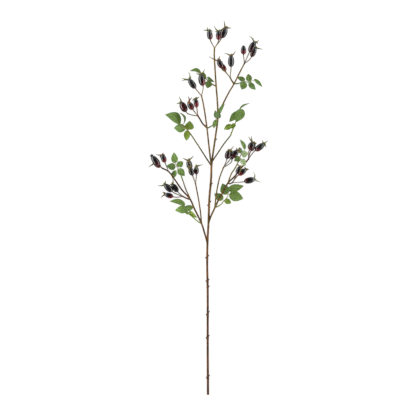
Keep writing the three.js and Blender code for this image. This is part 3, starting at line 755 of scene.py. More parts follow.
class GeometryGraph(Graph):
    """A Geometry Nodes tree with named inputs, which turns a carrier object into a part's mesh."""

    def __init__(self, name: str, inputs: dict[str, tuple[str, object]]) -> None:
        """Makes the tree.

        Args:
            name: The tree's name.
            inputs: For each named input, its kind of socket and its usual value.
        """
        super().__init__(bpy.data.node_groups.new(name, "GeometryNodeTree"))
        face = self.tree.interface
        face.new_socket("Geometry", in_out="INPUT", socket_type="NodeSocketGeometry")
        self.sockets = {}
        for label, (kind, value) in inputs.items():
            socket = face.new_socket(label, in_out="INPUT", socket_type=kind)
            if value is not None:
                socket.default_value = value
            self.sockets[label] = socket.identifier
        face.new_socket("Geometry", in_out="OUTPUT", socket_type="NodeSocketGeometry")
        self.entry = self.tree.nodes.new("NodeGroupInput").outputs

    def capture(self, geometry: bpy.types.NodeSocket, kind: str, domain: str = "POINT",
                **sources: bpy.types.NodeSocket) -> bpy.types.bpy_prop_collection:
        """Keeps numbers with a geometry while it is swept.

        Args:
            geometry: The geometry.
            kind: INT for whole numbers, or else FLOAT.
            domain: What has a number each.
            **sources: The numbers, by name.

        Returns:
            The sockets with the geometry and with the numbers, by name.
        """
        node = self.add("GeometryNodeCaptureAttribute", {"Geometry": geometry}, domain=domain)
        for label, source in sources.items():
            node.capture_items.new(kind, label)
            self.tree.links.new(source, node.inputs[label])
        return node.outputs

    def store(self, geometry: bpy.types.NodeSocket, name: str, value: bpy.types.NodeSocket,
              kind: str = "FLOAT", domain: str = "POINT") -> bpy.types.NodeSocket:
        """Stores an attribute on a mesh.

        Args:
            geometry: The mesh.
            name: The attribute's name.
            value: What it holds.
            kind: Its data type.
            domain: What has a value each.

        Returns:
            The socket with the mesh.
        """
        inputs = {"Geometry": geometry, "Name": name, "Value": value}
        node = self.add("GeometryNodeStoreNamedAttribute", inputs, data_type=kind, domain=domain)
        return node.outputs[0]

    def finish(self, geometry: bpy.types.NodeSocket, material: bpy.types.NodeSocket) -> None:
        """Ends the tree with realized instances of one material.

        Args:
            geometry: What has been made.
            material: Its material.
        """
        real = self.add("GeometryNodeRealizeInstances", {"Geometry": geometry})
        dressed = self.add("GeometryNodeSetMaterial", {"Geometry": real.outputs[0], "Material": material})
        self.add("NodeGroupOutput", {"Geometry": dressed.outputs[0]})

    def grow(self, carrier: bpy.types.Object, **values: object) -> bpy.types.Mesh:
        """Runs the tree on a carrier, which is then removed.

        Args:
            carrier: The object whose geometry the tree starts from.
            **values: The values of the named inputs.

        Returns:
            The mesh that was made.
        """
        modifier = carrier.modifiers.new(self.tree.name, "NODES")
        modifier.node_group = self.tree
        for label, value in values.items():
            modifier[self.sockets[label]] = value
        bpy.context.scene.collection.objects.link(carrier)
        graph = bpy.context.evaluated_depsgraph_get()
        mesh = bpy.data.meshes.new_from_object(carrier.evaluated_get(graph))
        carrier.modifiers.clear()
        source = carrier.data
        bpy.data.objects.remove(carrier)
        kind = bpy.data.curves if isinstance(source, bpy.types.Curve) else bpy.data.meshes
        kind.remove(source)
        return mesh

    def part(self, mesh: bpy.types.Mesh, look: Look, colour: Rgb, seed: int) -> Part:
        """Runs the tree on a mesh, and reads what it makes as a part of one colour.

        Args:
            mesh: The mesh that it starts from.
            look: What the part is finished as.
            colour: Its colour.
            seed: What makes it differ from other parts.

        Returns:
            The part.
        """
        made = self.grow(bpy.data.objects.new(mesh.name, mesh), Seed=seed, Finish=look.material)
        part = read_mesh(made, look)
        part.tints[:] = colour
        bpy.data.meshes.remove(made)
        return part


@dataclass(frozen=True)
class Strand:
    """A stalk to sweep along a line.

    Attributes:
        line: Its core, in metres.
        radii: Its radius at each point of the core, in metres.
        colours: Its colours, evenly spaced from its start to its end.
    """

    line: np.ndarray
    radii: np.ndarray
    colours: tuple[Rgb, ...]


class Sweeper:
    """Sweeps stalks, twigs and sepals along their cores, with a rippled skin."""

    def __init__(self, name: str, level: bool) -> None:
        """Builds the tree.

        Args:
            name: The tree's name.
            level: Whether a flat section lies level, instead of following the core's own twist.
        """
        graph = GeometryGraph(name, {
            "Sides": ("NodeSocketInt", 12),
            "Flatness": ("NodeSocketFloat", 1.0),
            "Ripple": ("NodeSocketFloat", 0.0),
            "Grain": ("NodeSocketFloat", 400.0),
            "Seed": ("NodeSocketFloat", 0.0),
            "Finish": ("NodeSocketMaterial", None),
        })
        entry = graph.entry
        cores = entry["Geometry"]
        if level:
            cores = graph.add("GeometryNodeSetCurveNormal", {"Curve": cores}, mode="Z_UP").outputs[0]
        spline = graph.add("GeometryNodeSplineParameter").outputs
        core = graph.capture(cores, "FLOAT", Along=spline["Length"], Reach=spline["Factor"])
        index = graph.add("GeometryNodeInputIndex").outputs[0]
        numbered = graph.capture(core[0], "INT", "CURVE", Strand=index)
        ring = graph.add("GeometryNodeCurvePrimitiveCircle", {"Resolution": entry["Sides"], "Radius": 1.0})
        turn = graph.add("GeometryNodeSplineParameter").outputs["Factor"]
        around = graph.capture(ring.outputs["Curve"], "FLOAT", Around=turn)
        squash = graph.add("ShaderNodeCombineXYZ", {0: 1.0, 1: entry["Flatness"], 2: 1.0})
        section = graph.add("GeometryNodeTransform", {"Geometry": around[0], "Scale": squash.outputs[0]})
        swept = graph.add("GeometryNodeCurveToMesh", {
            "Curve": numbered[0],
            "Profile Curve": section.outputs[0],
            "Scale": graph.add("GeometryNodeInputRadius").outputs[0],
            "Fill Caps": True,
        })
        mesh = self._rippled(graph, swept.outputs[0])
        uv = graph.add("ShaderNodeCombineXYZ", {0: around["Around"], 1: core["Along"]})
        mesh = graph.store(mesh, "UVMap", uv.outputs[0], "FLOAT2", "CORNER")
        mesh = graph.store(mesh, "strand", numbered["Strand"])
        mesh = graph.store(mesh, "reach", core["Reach"])
        graph.finish(mesh, entry["Finish"])
        self.graph = graph

    @staticmethod
    def _rippled(graph: GeometryGraph, mesh: bpy.types.NodeSocket) -> bpy.types.NodeSocket:
        """Moves a mesh in and out along its normals by a noise.

        Args:
            graph: The tree.
            mesh: The mesh.

        Returns:
            The rippled mesh.
        """
        entry = graph.entry
        place = graph.add("GeometryNodeInputPosition").outputs[0]
        bump = graph.add("ShaderNodeTexNoise", {
            "Vector": place, "W": entry["Seed"], "Scale": entry["Grain"], "Detail": 2.0,
        }, noise_dimensions="4D")
        height = graph.sum("MULTIPLY", graph.sum("SUBTRACT", bump.outputs[0], 0.5), entry["Ripple"])
        normal = graph.add("GeometryNodeInputNormal").outputs["Normal"]
        push = graph.add("ShaderNodeVectorMath", {0: normal, "Scale": height}, operation="SCALE")
        return graph.add("GeometryNodeSetPosition", {"Geometry": mesh, "Offset": push.outputs[0]}).outputs[0]

    def sweep(self, strands: Sequence[Strand], look: Look, sides: int, ripple: float, grain: float,
              seed: float, flatness: float = 1.0) -> Part:
        """Sweeps several strands into one part.

        Args:
            strands: The strands.
            look: What the part is finished as.
            sides: How many sides a strand has.
            ripple: The height of the ripples on its skin, in metres.
            grain: How fine they are.
            seed: What makes them differ from those of other parts.
            flatness: A strand's thickness as a share of its width.

        Returns:
            The part.
        """
        data = bpy.data.curves.new("cores", "CURVE")
        data.dimensions = "3D"
        for strand in strands:
            weights = np.ones(len(strand.line))
            spline = data.splines.new("POLY")
            spline.points.add(len(strand.line) - 1)
            spline.points.foreach_set("co", np.column_stack((strand.line, weights)).ravel())
            spline.points.foreach_set("radius", strand.radii)
        mesh = self.graph.grow(
            bpy.data.objects.new("cores", data),
            Sides=sides, Flatness=flatness, Ripple=ripple, Grain=grain, Seed=seed, Finish=look.material,
        )
        part = read_mesh(mesh, look)
        strand_of = read_numbers(mesh, "strand").astype(int)
        reach = read_numbers(mesh, "reach")
        for number, strand in enumerate(strands):
            stops = np.linspace(0, 1, len(strand.colours))
            chosen = strand_of == number
            for channel in range(3):
                shades = [colour[channel] for colour in strand.colours]
                part.tints[chosen, channel] = np.interp(reach[chosen], stops, shades)
        bpy.data.meshes.remove(mesh)
        return part


def read_numbers(mesh: bpy.types.Mesh, name: str) -> np.ndarray:
    """Reads a number for each vertex of a mesh.

    Args:
        mesh: The mesh.
        name: The attribute's name.

    Returns:
        The numbers.
    """
    values = np.zeros(len(mesh.vertices), np.float32)
    mesh.attributes[name].data.foreach_get("value", values)
    return values


def read_mesh(mesh: bpy.types.Mesh, look: Look) -> Part:
    """Reads a mesh as a part.

    Args:
        mesh: The mesh.
        look: What the part is finished as.

    Returns:
        The part, tinted black.
    """
    points = np.zeros(len(mesh.vertices) * 3, np.float32)
    mesh.vertices.foreach_get("co", points)
    faces = [tuple(face.vertices) for face in mesh.polygons]
    uvs = np.zeros(len(mesh.loops) * 2, np.float32)
    if "UVMap" in mesh.attributes:
        mesh.attributes["UVMap"].data.foreach_get("vector", uvs)
    uvs = uvs.reshape(-1, 2)
    start = 0
    for face in faces:  # a face that closes a ring goes on past 1, and doesn't run back to 0
        around = uvs[start : start + len(face), 0]
        if len(face) == 4 and around.max() - around.min() > 0.5:
            around[around < 0.5] += 1
        start += len(face)
    return Part(points.reshape(-1, 3), faces, uvs, np.zeros((len(mesh.vertices), 3)), look)


class StamenTuft:
    """The dry threads in the middle of a hip's crown, set out in a spiral."""

    def __init__(self) -> None:
        """Builds the tree."""
        graph = GeometryGraph("stamen_tuft", {
            "Count": ("NodeSocketInt", 26),
            "Disc": ("NodeSocketFloat", 1.5 * MM),
            "Length": ("NodeSocketFloat", 2.2 * MM),
            "Thickness": ("NodeSocketFloat", 0.11 * MM),
            "Lean": ("NodeSocketFloat", 0.75),
            "Shortest": ("NodeSocketFloat", 0.6),
            "Longest": ("NodeSocketFloat", 1.15),
            "Seed": ("NodeSocketInt", 1),
            "Finish": ("NodeSocketMaterial", None),
        })
        entry = graph.entry
        index = graph.add("GeometryNodeInputIndex").outputs[0]
        share = graph.sum("DIVIDE", graph.sum("ADD", index, 0.5), entry["Count"])
        out = graph.sum("SQRT", share)
        reach = graph.sum("MULTIPLY", out, entry["Disc"])
        turn = graph.sum("MULTIPLY", index, GOLDEN_TURN)
        spot = graph.add("ShaderNodeCombineXYZ", {
            0: graph.sum("MULTIPLY", reach, graph.sum("COSINE", turn)),
            1: graph.sum("MULTIPLY", reach, graph.sum("SINE", turn)),
        })
        places = graph.add("GeometryNodePoints", {"Count": entry["Count"], "Position": spot.outputs[0]})
        top = graph.add("ShaderNodeCombineXYZ", {2: entry["Length"]})
        core = graph.add("GeometryNodeCurvePrimitiveLine", {"End": top.outputs[0]})
        ring = graph.add("GeometryNodeCurvePrimitiveCircle", {"Resolution": 3, "Radius": entry["Thickness"]})
        thread = graph.add("GeometryNodeCurveToMesh", {
            "Curve": core.outputs[0], "Profile Curve": ring.outputs[0], "Fill Caps": True,
        })
        lean = graph.add("ShaderNodeCombineXYZ", {1: graph.sum("MULTIPLY", out, entry["Lean"]), 2: turn})
        turned = graph.add("FunctionNodeEulerToRotation", {0: lean.outputs[0]})
        size = graph.add("FunctionNodeRandomValue", {
            2: entry["Shortest"], 3: entry["Longest"], "Seed": entry["Seed"],
        }, data_type="FLOAT")
        tuft = graph.add("GeometryNodeInstanceOnPoints", {
            "Points": places.outputs[0], "Instance": thread.outputs[0], "Rotation": turned.outputs[0],
            "Scale": size.outputs[1],
        })
        graph.finish(tuft.outputs[0], entry["Finish"])
        self.graph = graph

    def part(self, seed: int, look: Look, colour: Rgb) -> Part:
        """Makes a tuft that stands on the origin.

        Args:
            seed: What makes it differ from other tufts.
            look: What it is finished as.
            colour: Its colour.

        Returns:
            The part.
        """
        return self.graph.part(bpy.data.meshes.new("tuft"), look, colour, seed)


class Warts:
    """The corky pores scattered over bark."""

    def __init__(self) -> None:
        """Builds the tree."""
        graph = GeometryGraph("warts", {
            "Density": ("NodeSocketFloat", 30000.0),
            "Radius": ("NodeSocketFloat", 0.28 * MM),
            "Flatness": ("NodeSocketFloat", 0.45),
            "Stretch": ("NodeSocketFloat", 1.6),
            "Smallest": ("NodeSocketFloat", 0.55),
            "Largest": ("NodeSocketFloat", 1.2),
            "Seed": ("NodeSocketInt", 1),
            "Finish": ("NodeSocketMaterial", None),
        })
        entry = graph.entry
        spots = graph.add("GeometryNodeDistributePointsOnFaces", {
            "Mesh": entry["Geometry"], "Density": entry["Density"], "Seed": entry["Seed"],
        })
        pore = graph.add("GeometryNodeMeshIcoSphere", {"Radius": entry["Radius"], "Subdivisions": 1})
        flat = graph.add("ShaderNodeCombineXYZ", {0: 1.0, 1: entry["Stretch"], 2: entry["Flatness"]})
        low = graph.add("GeometryNodeTransform", {"Geometry": pore.outputs[0], "Scale": flat.outputs[0]})
        size = graph.add("FunctionNodeRandomValue", {
            2: entry["Smallest"], 3: entry["Largest"], "Seed": entry["Seed"],
        }, data_type="FLOAT")
        pores = graph.add("GeometryNodeInstanceOnPoints", {
            "Points": spots.outputs["Points"], "Instance": low.outputs[0],
            "Rotation": spots.outputs["Rotation"], "Scale": size.outputs[1],
        })
        graph.finish(pores.outputs[0], entry["Finish"])
        self.graph = graph

    def part(self, skin: Part, seed: int, lighten: float = 1.5) -> Part:
        """Scatters pores over a part, with the same finish as the part's own.

        Args:
            skin: The part that they stand on.
            seed: What makes them differ from those of other parts.
            lighten: How much lighter than the skin they are.

        Returns:
            The part.
        """
        mesh = bpy.data.meshes.new("skin")
        walls = [face for face in skin.faces if len(face) == 4]  # the caps at its ends stay bare
        mesh.from_pydata(skin.points.tolist(), [], walls)
        return self.graph.part(mesh, skin.look, skin.tints.mean(axis=0) * lighten, seed)


# ---- Finishes ----


NOISE_SPAN = (0.3, 0.7)  # the heights between which most of a noise lies
SIDE_VEINS = 7  # how many veins a blade has on each side of its midrib
VEIN_LEAN = 0.3  # how far up the blade a side vein ends, as a share of the blade's length


class Shader(Graph):
    """A new material, with ways to add the patterns that its finish needs."""

    def __init__(self, look: Look) -> None:
        """Makes the material with its Principled shader.

        Args:
            look: What it is for, which names it.
        """
        material = bpy.data.materials.new(look.value)
        material.use_nodes = True
        super().__init__(material.node_tree)
        self.skin = material.node_tree.nodes["Principled BSDF"].inputs
        self.place = self.add("ShaderNodeTexCoord").outputs["Object"]
        self.tint = self.add("ShaderNodeAttribute", attribute_name="tint").outputs["Color"]
        uv = self.add("ShaderNodeUVMap", uv_map="UVMap")
        split = self.add("ShaderNodeSeparateXYZ", {0: uv.outputs[0]})
        self.across, self.along = split.outputs[0], split.outputs[1]

    def noise(self, vector: object, scale: float, detail: float) -> bpy.types.NodeSocket:
        """Adds a noise.

        Args:
            vector: The coordinates that it reads.
            scale: How fine it is.
            detail: How many finer layers it has.

        Returns:
            The socket with its height, around 0.5.
        """
        inputs = {"Vector": vector, "Scale": scale, "Detail": detail}
        return self.add("ShaderNodeTexNoise", inputs).outputs[0]

    def vary(self, noise: bpy.types.NodeSocket, low: float, high: float) -> bpy.types.NodeSocket:
        """Turns a noise into a number that varies from low to high."""
        return self.ease(noise, *NOISE_SPAN, low, high)

    def tube(self, stretch: float) -> bpy.types.NodeSocket:
        """Gives coordinates that run round and along a stalk without a seam.

        Args:
            stretch: How many units a metre along the stalk is.

        Returns:
            The socket with the coordinates.
        """
        turn = self.sum("MULTIPLY", self.across, math.tau)
        spot = self.add("ShaderNodeCombineXYZ", {
            0: self.sum("COSINE", turn), 1: self.sum("SINE", turn),
            2: self.sum("MULTIPLY", self.along, stretch),
        })
        return spot.outputs[0]

    def mix(self, share: object, first: object, second: object,
            blend: str = "MIX") -> bpy.types.NodeSocket:
        """Mixes two colours.

        Args:
            share: How much of the second there is.
            first: A colour or a socket.
            second: Another.
            blend: How they mix.

        Returns:
            The socket with the mixed colour.
        """
        opaque = [(*colour, 1.0) if isinstance(colour, tuple) else colour for colour in (first, second)]
        inputs = {0: share, 6: opaque[0], 7: opaque[1]}
        return self.add("ShaderNodeMix", inputs, data_type="RGBA", blend_type=blend).outputs[2]

    def shade(self, colour: object, value: object) -> bpy.types.NodeSocket:
        """Makes a colour lighter or darker.

        Args:
            colour: The colour.
            value: What to multiply it by.

        Returns:
            The socket with the new colour.
        """
        grey = self.add("ShaderNodeCombineColor", {0: value, 1: value, 2: value})
        return self.mix(1.0, colour, grey.outputs[0], "MULTIPLY")

    def dress(self, colour: object, roughness: object, height: object, depth: float,
              specular: float = 0.5) -> None:
        """Joins the patterns to the shader.

        Args:
            colour: The base colour.
            roughness: How rough it is.
            height: The height of its relief, from 0 to 1.
            depth: How deep the relief is, in metres.
            specular: How strongly it mirrors.
        """
        bump = self.add("ShaderNodeBump", {"Height": height, "Strength": 1.0, "Distance": depth})
        self.join(self.skin["Base Color"], colour)
        self.join(self.skin["Roughness"], roughness)
        self.join(self.skin["Specular IOR Level"], specular)
        self.join(self.skin["Normal"], bump.outputs[0])


@dataclass(frozen=True)
class BarkFinish:
    """Thin bark, streaked along the stem, with darker patches.

    Attributes:
        stretch: How much longer than wide its streaks are.
        streak: How far they are lighter and darker.
        patch: How much darker the patches are.
        warm: What tints the bark outside the patches.
        cool: What tints it inside them.
        roughness: How matt it is.
        depth: How deep its streaks are, in metres.
        specular: How strongly it mirrors.
    """

    stretch: float = 110.0
    streak: float = 0.34
    patch: float = 0.45
    warm: Rgb = (1.08, 0.98, 0.85)
    cool: Rgb = (0.95, 1.0, 1.0)
    roughness: float = 0.72
    depth: float = 0.16 * MM
    specular: float = 0.2

    def build(self) -> None:
        """Makes the material."""
        shader = Shader(Look.BARK)
        streaks = shader.noise(shader.tube(self.stretch), scale=2.6, detail=5.0)
        patches = shader.noise(shader.place, scale=95.0, detail=3.0)
        light = shader.vary(streaks, 1 - self.streak, 1 + self.streak)
        dark = shader.ease(patches, 0.42, 0.62, 1.0, 1 - self.patch)
        warmth = shader.mix(shader.ease(patches, 0.35, 0.6), self.warm, self.cool)
        tint = shader.mix(1.0, shader.tint, warmth, "MULTIPLY")
        colour = shader.shade(tint, shader.sum("MULTIPLY", light, dark))
        rough = shader.vary(streaks, self.roughness + 0.1, self.roughness - 0.12)
        shader.dress(colour, rough, streaks, self.depth, self.specular)


@dataclass(frozen=True)
class CutFinish:
    """Pale wood cut across, with a ring of bark and a brown pith.

    Attributes:
        wood: The colour of the wood.
        pith: The colour of its middle.
        rim: The colour of the bark round it.
        ragged: How uneven the rings are, as a share of the radius.
        roughness: How matt it is.
        depth: How deep its rays are, in metres.
    """

    wood: str = "c9ad7c"
    pith: str = "8a6038"
    rim: str = "5d4330"
    ragged: float = 0.12
    roughness: float = 0.8
    depth: float = 0.1 * MM

    def build(self) -> None:
        """Makes the material."""
        shader = Shader(Look.CUT)
        rays = shader.noise(shader.place, scale=2600.0, detail=2.0)
        stray = shader.sum("MULTIPLY", shader.sum("SUBTRACT", rays, 0.5), self.ragged)
        radius = shader.sum("ADD", shader.across, stray)
        wood = shader.mix(shader.ease(radius, 0.2, 0.3), rgb(self.pith), rgb(self.wood))
        colour = shader.mix(shader.ease(radius, 0.82, 0.92), wood, rgb(self.rim))
        shader.dress(shader.shade(colour, shader.vary(rays, 0.8, 1.12)), self.roughness, rays, self.depth)


@dataclass(frozen=True)
class SkinFinish:
    """The glossy skin of a ripe hip: near-black, with dark red that spreads from its base.

    Attributes:
        ripe: The near-black.
        bloom_and_sheen: The grey towards the crown: partly the wax's bloom, partly a painted sheen.
        wax_and_sheen: How much of that grey there is at most.
        ragged: How uneven the edge of the red is.
        roughness: How matt it is.
        depth: How deep its grain is, in metres.
        coat_roughness: How matt the gloss over it is.
        coat_ior: How strongly that gloss mirrors.
    """

    ripe: str = "100d0d"
    # a grey that is partly wax bloom and partly a painted sheen towards the crown
    bloom_and_sheen: str = "4b4d52"
    wax_and_sheen: float = 0.75
    ragged: float = 0.9
    roughness: float = 0.2
    depth: float = 0.05 * MM
    coat_roughness: float = 0.1
    coat_ior: float = 1.66

    def build(self) -> None:
        """Makes the material."""
        shader = Shader(Look.SKIN)
        clouds = shader.noise(shader.place, scale=210.0, detail=3.0)
        grain = shader.noise(shader.place, scale=900.0, detail=3.0)
        # the second coordinate falls below 0 where the red reaches, and is 1 at the crown
        uneven = shader.sum("MULTIPLY_ADD", shader.sum("SUBTRACT", clouds, 0.5), self.ragged, shader.along)
        red = shader.ease(uneven, -0.05, 0.3, 1.0, 0.0)
        red = shader.sum("MULTIPLY", red, shader.ease(grain, 0.25, 0.75, 0.65, 1.15))
        # greys the skin towards the crown: partly wax bloom, partly a painted sheen
        bloom_and_sheen_share = shader.ease(uneven, 0.35, 1.15, 0.0, self.wax_and_sheen)
        dark = shader.mix(bloom_and_sheen_share, rgb(self.ripe), rgb(self.bloom_and_sheen))
        rough = shader.ease(clouds, 0.3, 0.75, self.roughness, self.roughness + 0.14)
        shader.dress(shader.mix(red, dark, shader.tint), rough, grain, self.depth)
        shader.skin["Coat Weight"].default_value = 1.0
        shader.skin["Coat Roughness"].default_value = self.coat_roughness
        shader.skin["Coat IOR"].default_value = self.coat_ior


@dataclass(frozen=True)
class SepalFinish:
    """Dry sepals and threads, streaked along their length.

    Attributes:
        stretch: How much longer than wide its streaks are.
        streak: How far they are lighter and darker.
        roughness: How matt it is.
        depth: How deep its streaks are, in metres.
        specular: How strongly it mirrors.
    """

    stretch: float = 260.0
    streak: float = 0.3
    roughness: float = 0.7
    depth: float = 0.1 * MM
    specular: float = 0.2

    def build(self) -> None:
        """Makes the material."""
        shader = Shader(Look.SEPAL)
        streaks = shader.noise(shader.tube(self.stretch), scale=1.8, detail=4.0)
        spots = shader.noise(shader.place, scale=700.0, detail=2.0)
        light = shader.vary(streaks, 1 - self.streak, 1 + self.streak)
        colour = shader.shade(shader.tint, shader.sum("MULTIPLY", light, shader.vary(spots, 0.82, 1.12)))
        rough = shader.vary(spots, self.roughness, self.roughness + 0.15)
        shader.dress(colour, rough, streaks, self.depth, self.specular)


@dataclass(frozen=True)
class BladeFinish:
    """A leaflet's face, with a midrib, side veins and a mottled green.

    Attributes:
        look: What it is for.
        pale: How far the green turns to grey, as it does beneath.
        vein: How much lighter the veins are.
        roughness: How matt it is.
        depth: How deep the veins are, in metres.
        grey: The grey-green beneath.
        veins: The colour of the veins.
        edge: The colour of the thin edge.
        specular: How strongly it mirrors.
    """

    look: Look
    pale: float
    vein: float
    roughness: float
    depth: float
    grey: str = "8ea07e"
    veins: str = "b9c887"
    edge: str = "4d5f2a"
    specular: float = 0.3

    def ribs(self, shader: Shader, side: bpy.types.NodeSocket) -> bpy.types.NodeSocket:
        """Draws the midrib and the side veins.

        Args:
            shader: The material's shader.
            side: How far out from the midrib a point is, from 0 to 1.

        Returns:
            The socket that is 1 on a vein and 0 off it.
        """
        lean = shader.sum("MULTIPLY_ADD", side, -VEIN_LEAN, shader.along)
        phase = shader.sum("FRACT", shader.sum("MULTIPLY", lean, float(SIDE_VEINS)))
        near = shader.sum("ABSOLUTE", shader.sum("SUBTRACT", phase, 0.5))
        fading = shader.ease(side, 0.75, 1.0, 0.8, 0.0)
        lateral = shader.sum("MULTIPLY", shader.ease(near, 0.36, 0.48), fading)
        return shader.sum("MAXIMUM", shader.ease(side, 0.03, 0.1, 1.0, 0.0), lateral)

    def build(self) -> None:
        """Makes the material."""
        shader = Shader(self.look)
        side = shader.sum("ABSOLUTE", shader.sum("MULTIPLY_ADD", shader.across, 2.0, -1.0))
        ribs = self.ribs(shader, side)
        mottle = shader.noise(shader.place, scale=420.0, detail=4.0)
        fine = shader.noise(shader.place, scale=1900.0, detail=2.0)
        green = shader.mix(self.pale, shader.tint, rgb(self.grey))
        warmer = shader.mix(1.0, green, (1.35, 1.22, 0.85), "MULTIPLY")
        green = shader.mix(shader.ease(mottle, 0.35, 0.65), green, warmer)
        light = shader.sum("MULTIPLY", shader.vary(mottle, 0.8, 1.16), shader.vary(fine, 0.88, 1.1))
        pale = shader.sum("MULTIPLY", ribs, self.vein)
        veined = shader.mix(pale, shader.shade(green, light), rgb(self.veins))
        colour = shader.mix(shader.ease(side, 0.86, 1.0, 0.0, 0.5), veined, rgb(self.edge))
        height = shader.sum("SUBTRACT", shader.sum("MULTIPLY", fine, 0.35), shader.sum("MULTIPLY", ribs, 0.8))
        rough = shader.vary(fine, self.roughness, self.roughness + 0.12)
        shader.dress(colour, rough, height, self.depth, self.specular)


FINISHES = (
    BarkFinish(),
    CutFinish(),
    SkinFinish(),
    SepalFinish(),
    BladeFinish(Look.BLADE_TOP, pale=0.0, vein=0.3, roughness=0.48, depth=0.12 * MM),
    BladeFinish(Look.BLADE_UNDER, pale=0.6, vein=0.45, roughness=0.62, depth=-0.12 * MM),
)


# ---- Stems ----


@dataclass
class Workshop:
    """The Geometry Nodes trees that the pieces share."""

    round: Sweeper = field(default_factory=lambda: Sweeper("round_sweep", level=False))
    flat: Sweeper = field(default_factory=lambda: Sweeper("flat_sweep", level=True))
    tuft: StamenTuft = field(default_factory=StamenTuft)
    warts: Warts = field(default_factory=Warts)


@dataclass(frozen=True)
class BudForm:
    """The stub of a bud, and the stem round it, in millimetres.

    Attributes:
        reach: How far out from the stem's core it ends.
        climb: How far up the stem it ends.
        sag: How far its middle hangs out and down.
        radii: Its radius along its length.
        colours: Its colours, from its root to its tip.
        swell: How much thicker the stem is at it, as a share.
        spread: How far up and down the stem that shows.
        drop: How far below the bud the stem is thickest.
    """

    reach: float = 4.2
    climb: float = 2.6
    sag: float = 0.5
    radii: tuple[float, ...] = (1.7, 1.75, 1.75, 1.65, 1.5, 1.35, 1.15, 0.85, 0.5, 0.12)
    colours: tuple[str, ...] = ("6a4a38", "7d5138", "4d3428")
    swell: float = 0.12
    spread: float = 2.2
    drop: float = 1.0

    def strand(self, root: np.ndarray, side: int) -> Strand:
        """Gives the stub, which points up and out.

        Args:
            root: Where it leaves the stem's core.
            side: -1 for the left, 1 for the right.

        Returns:
            The strand.
        """
        point = root + np.array((side * self.reach, self.climb, 0.0))
        middle = root + (point - root) * 0.6 + np.array((side * self.sag, -self.sag, 0.0))
        core = bent(root, middle, point, len(self.radii))
        return Strand(placed(core), np.array(self.radii) * MM, tuple(rgb(code) for code in self.colours))


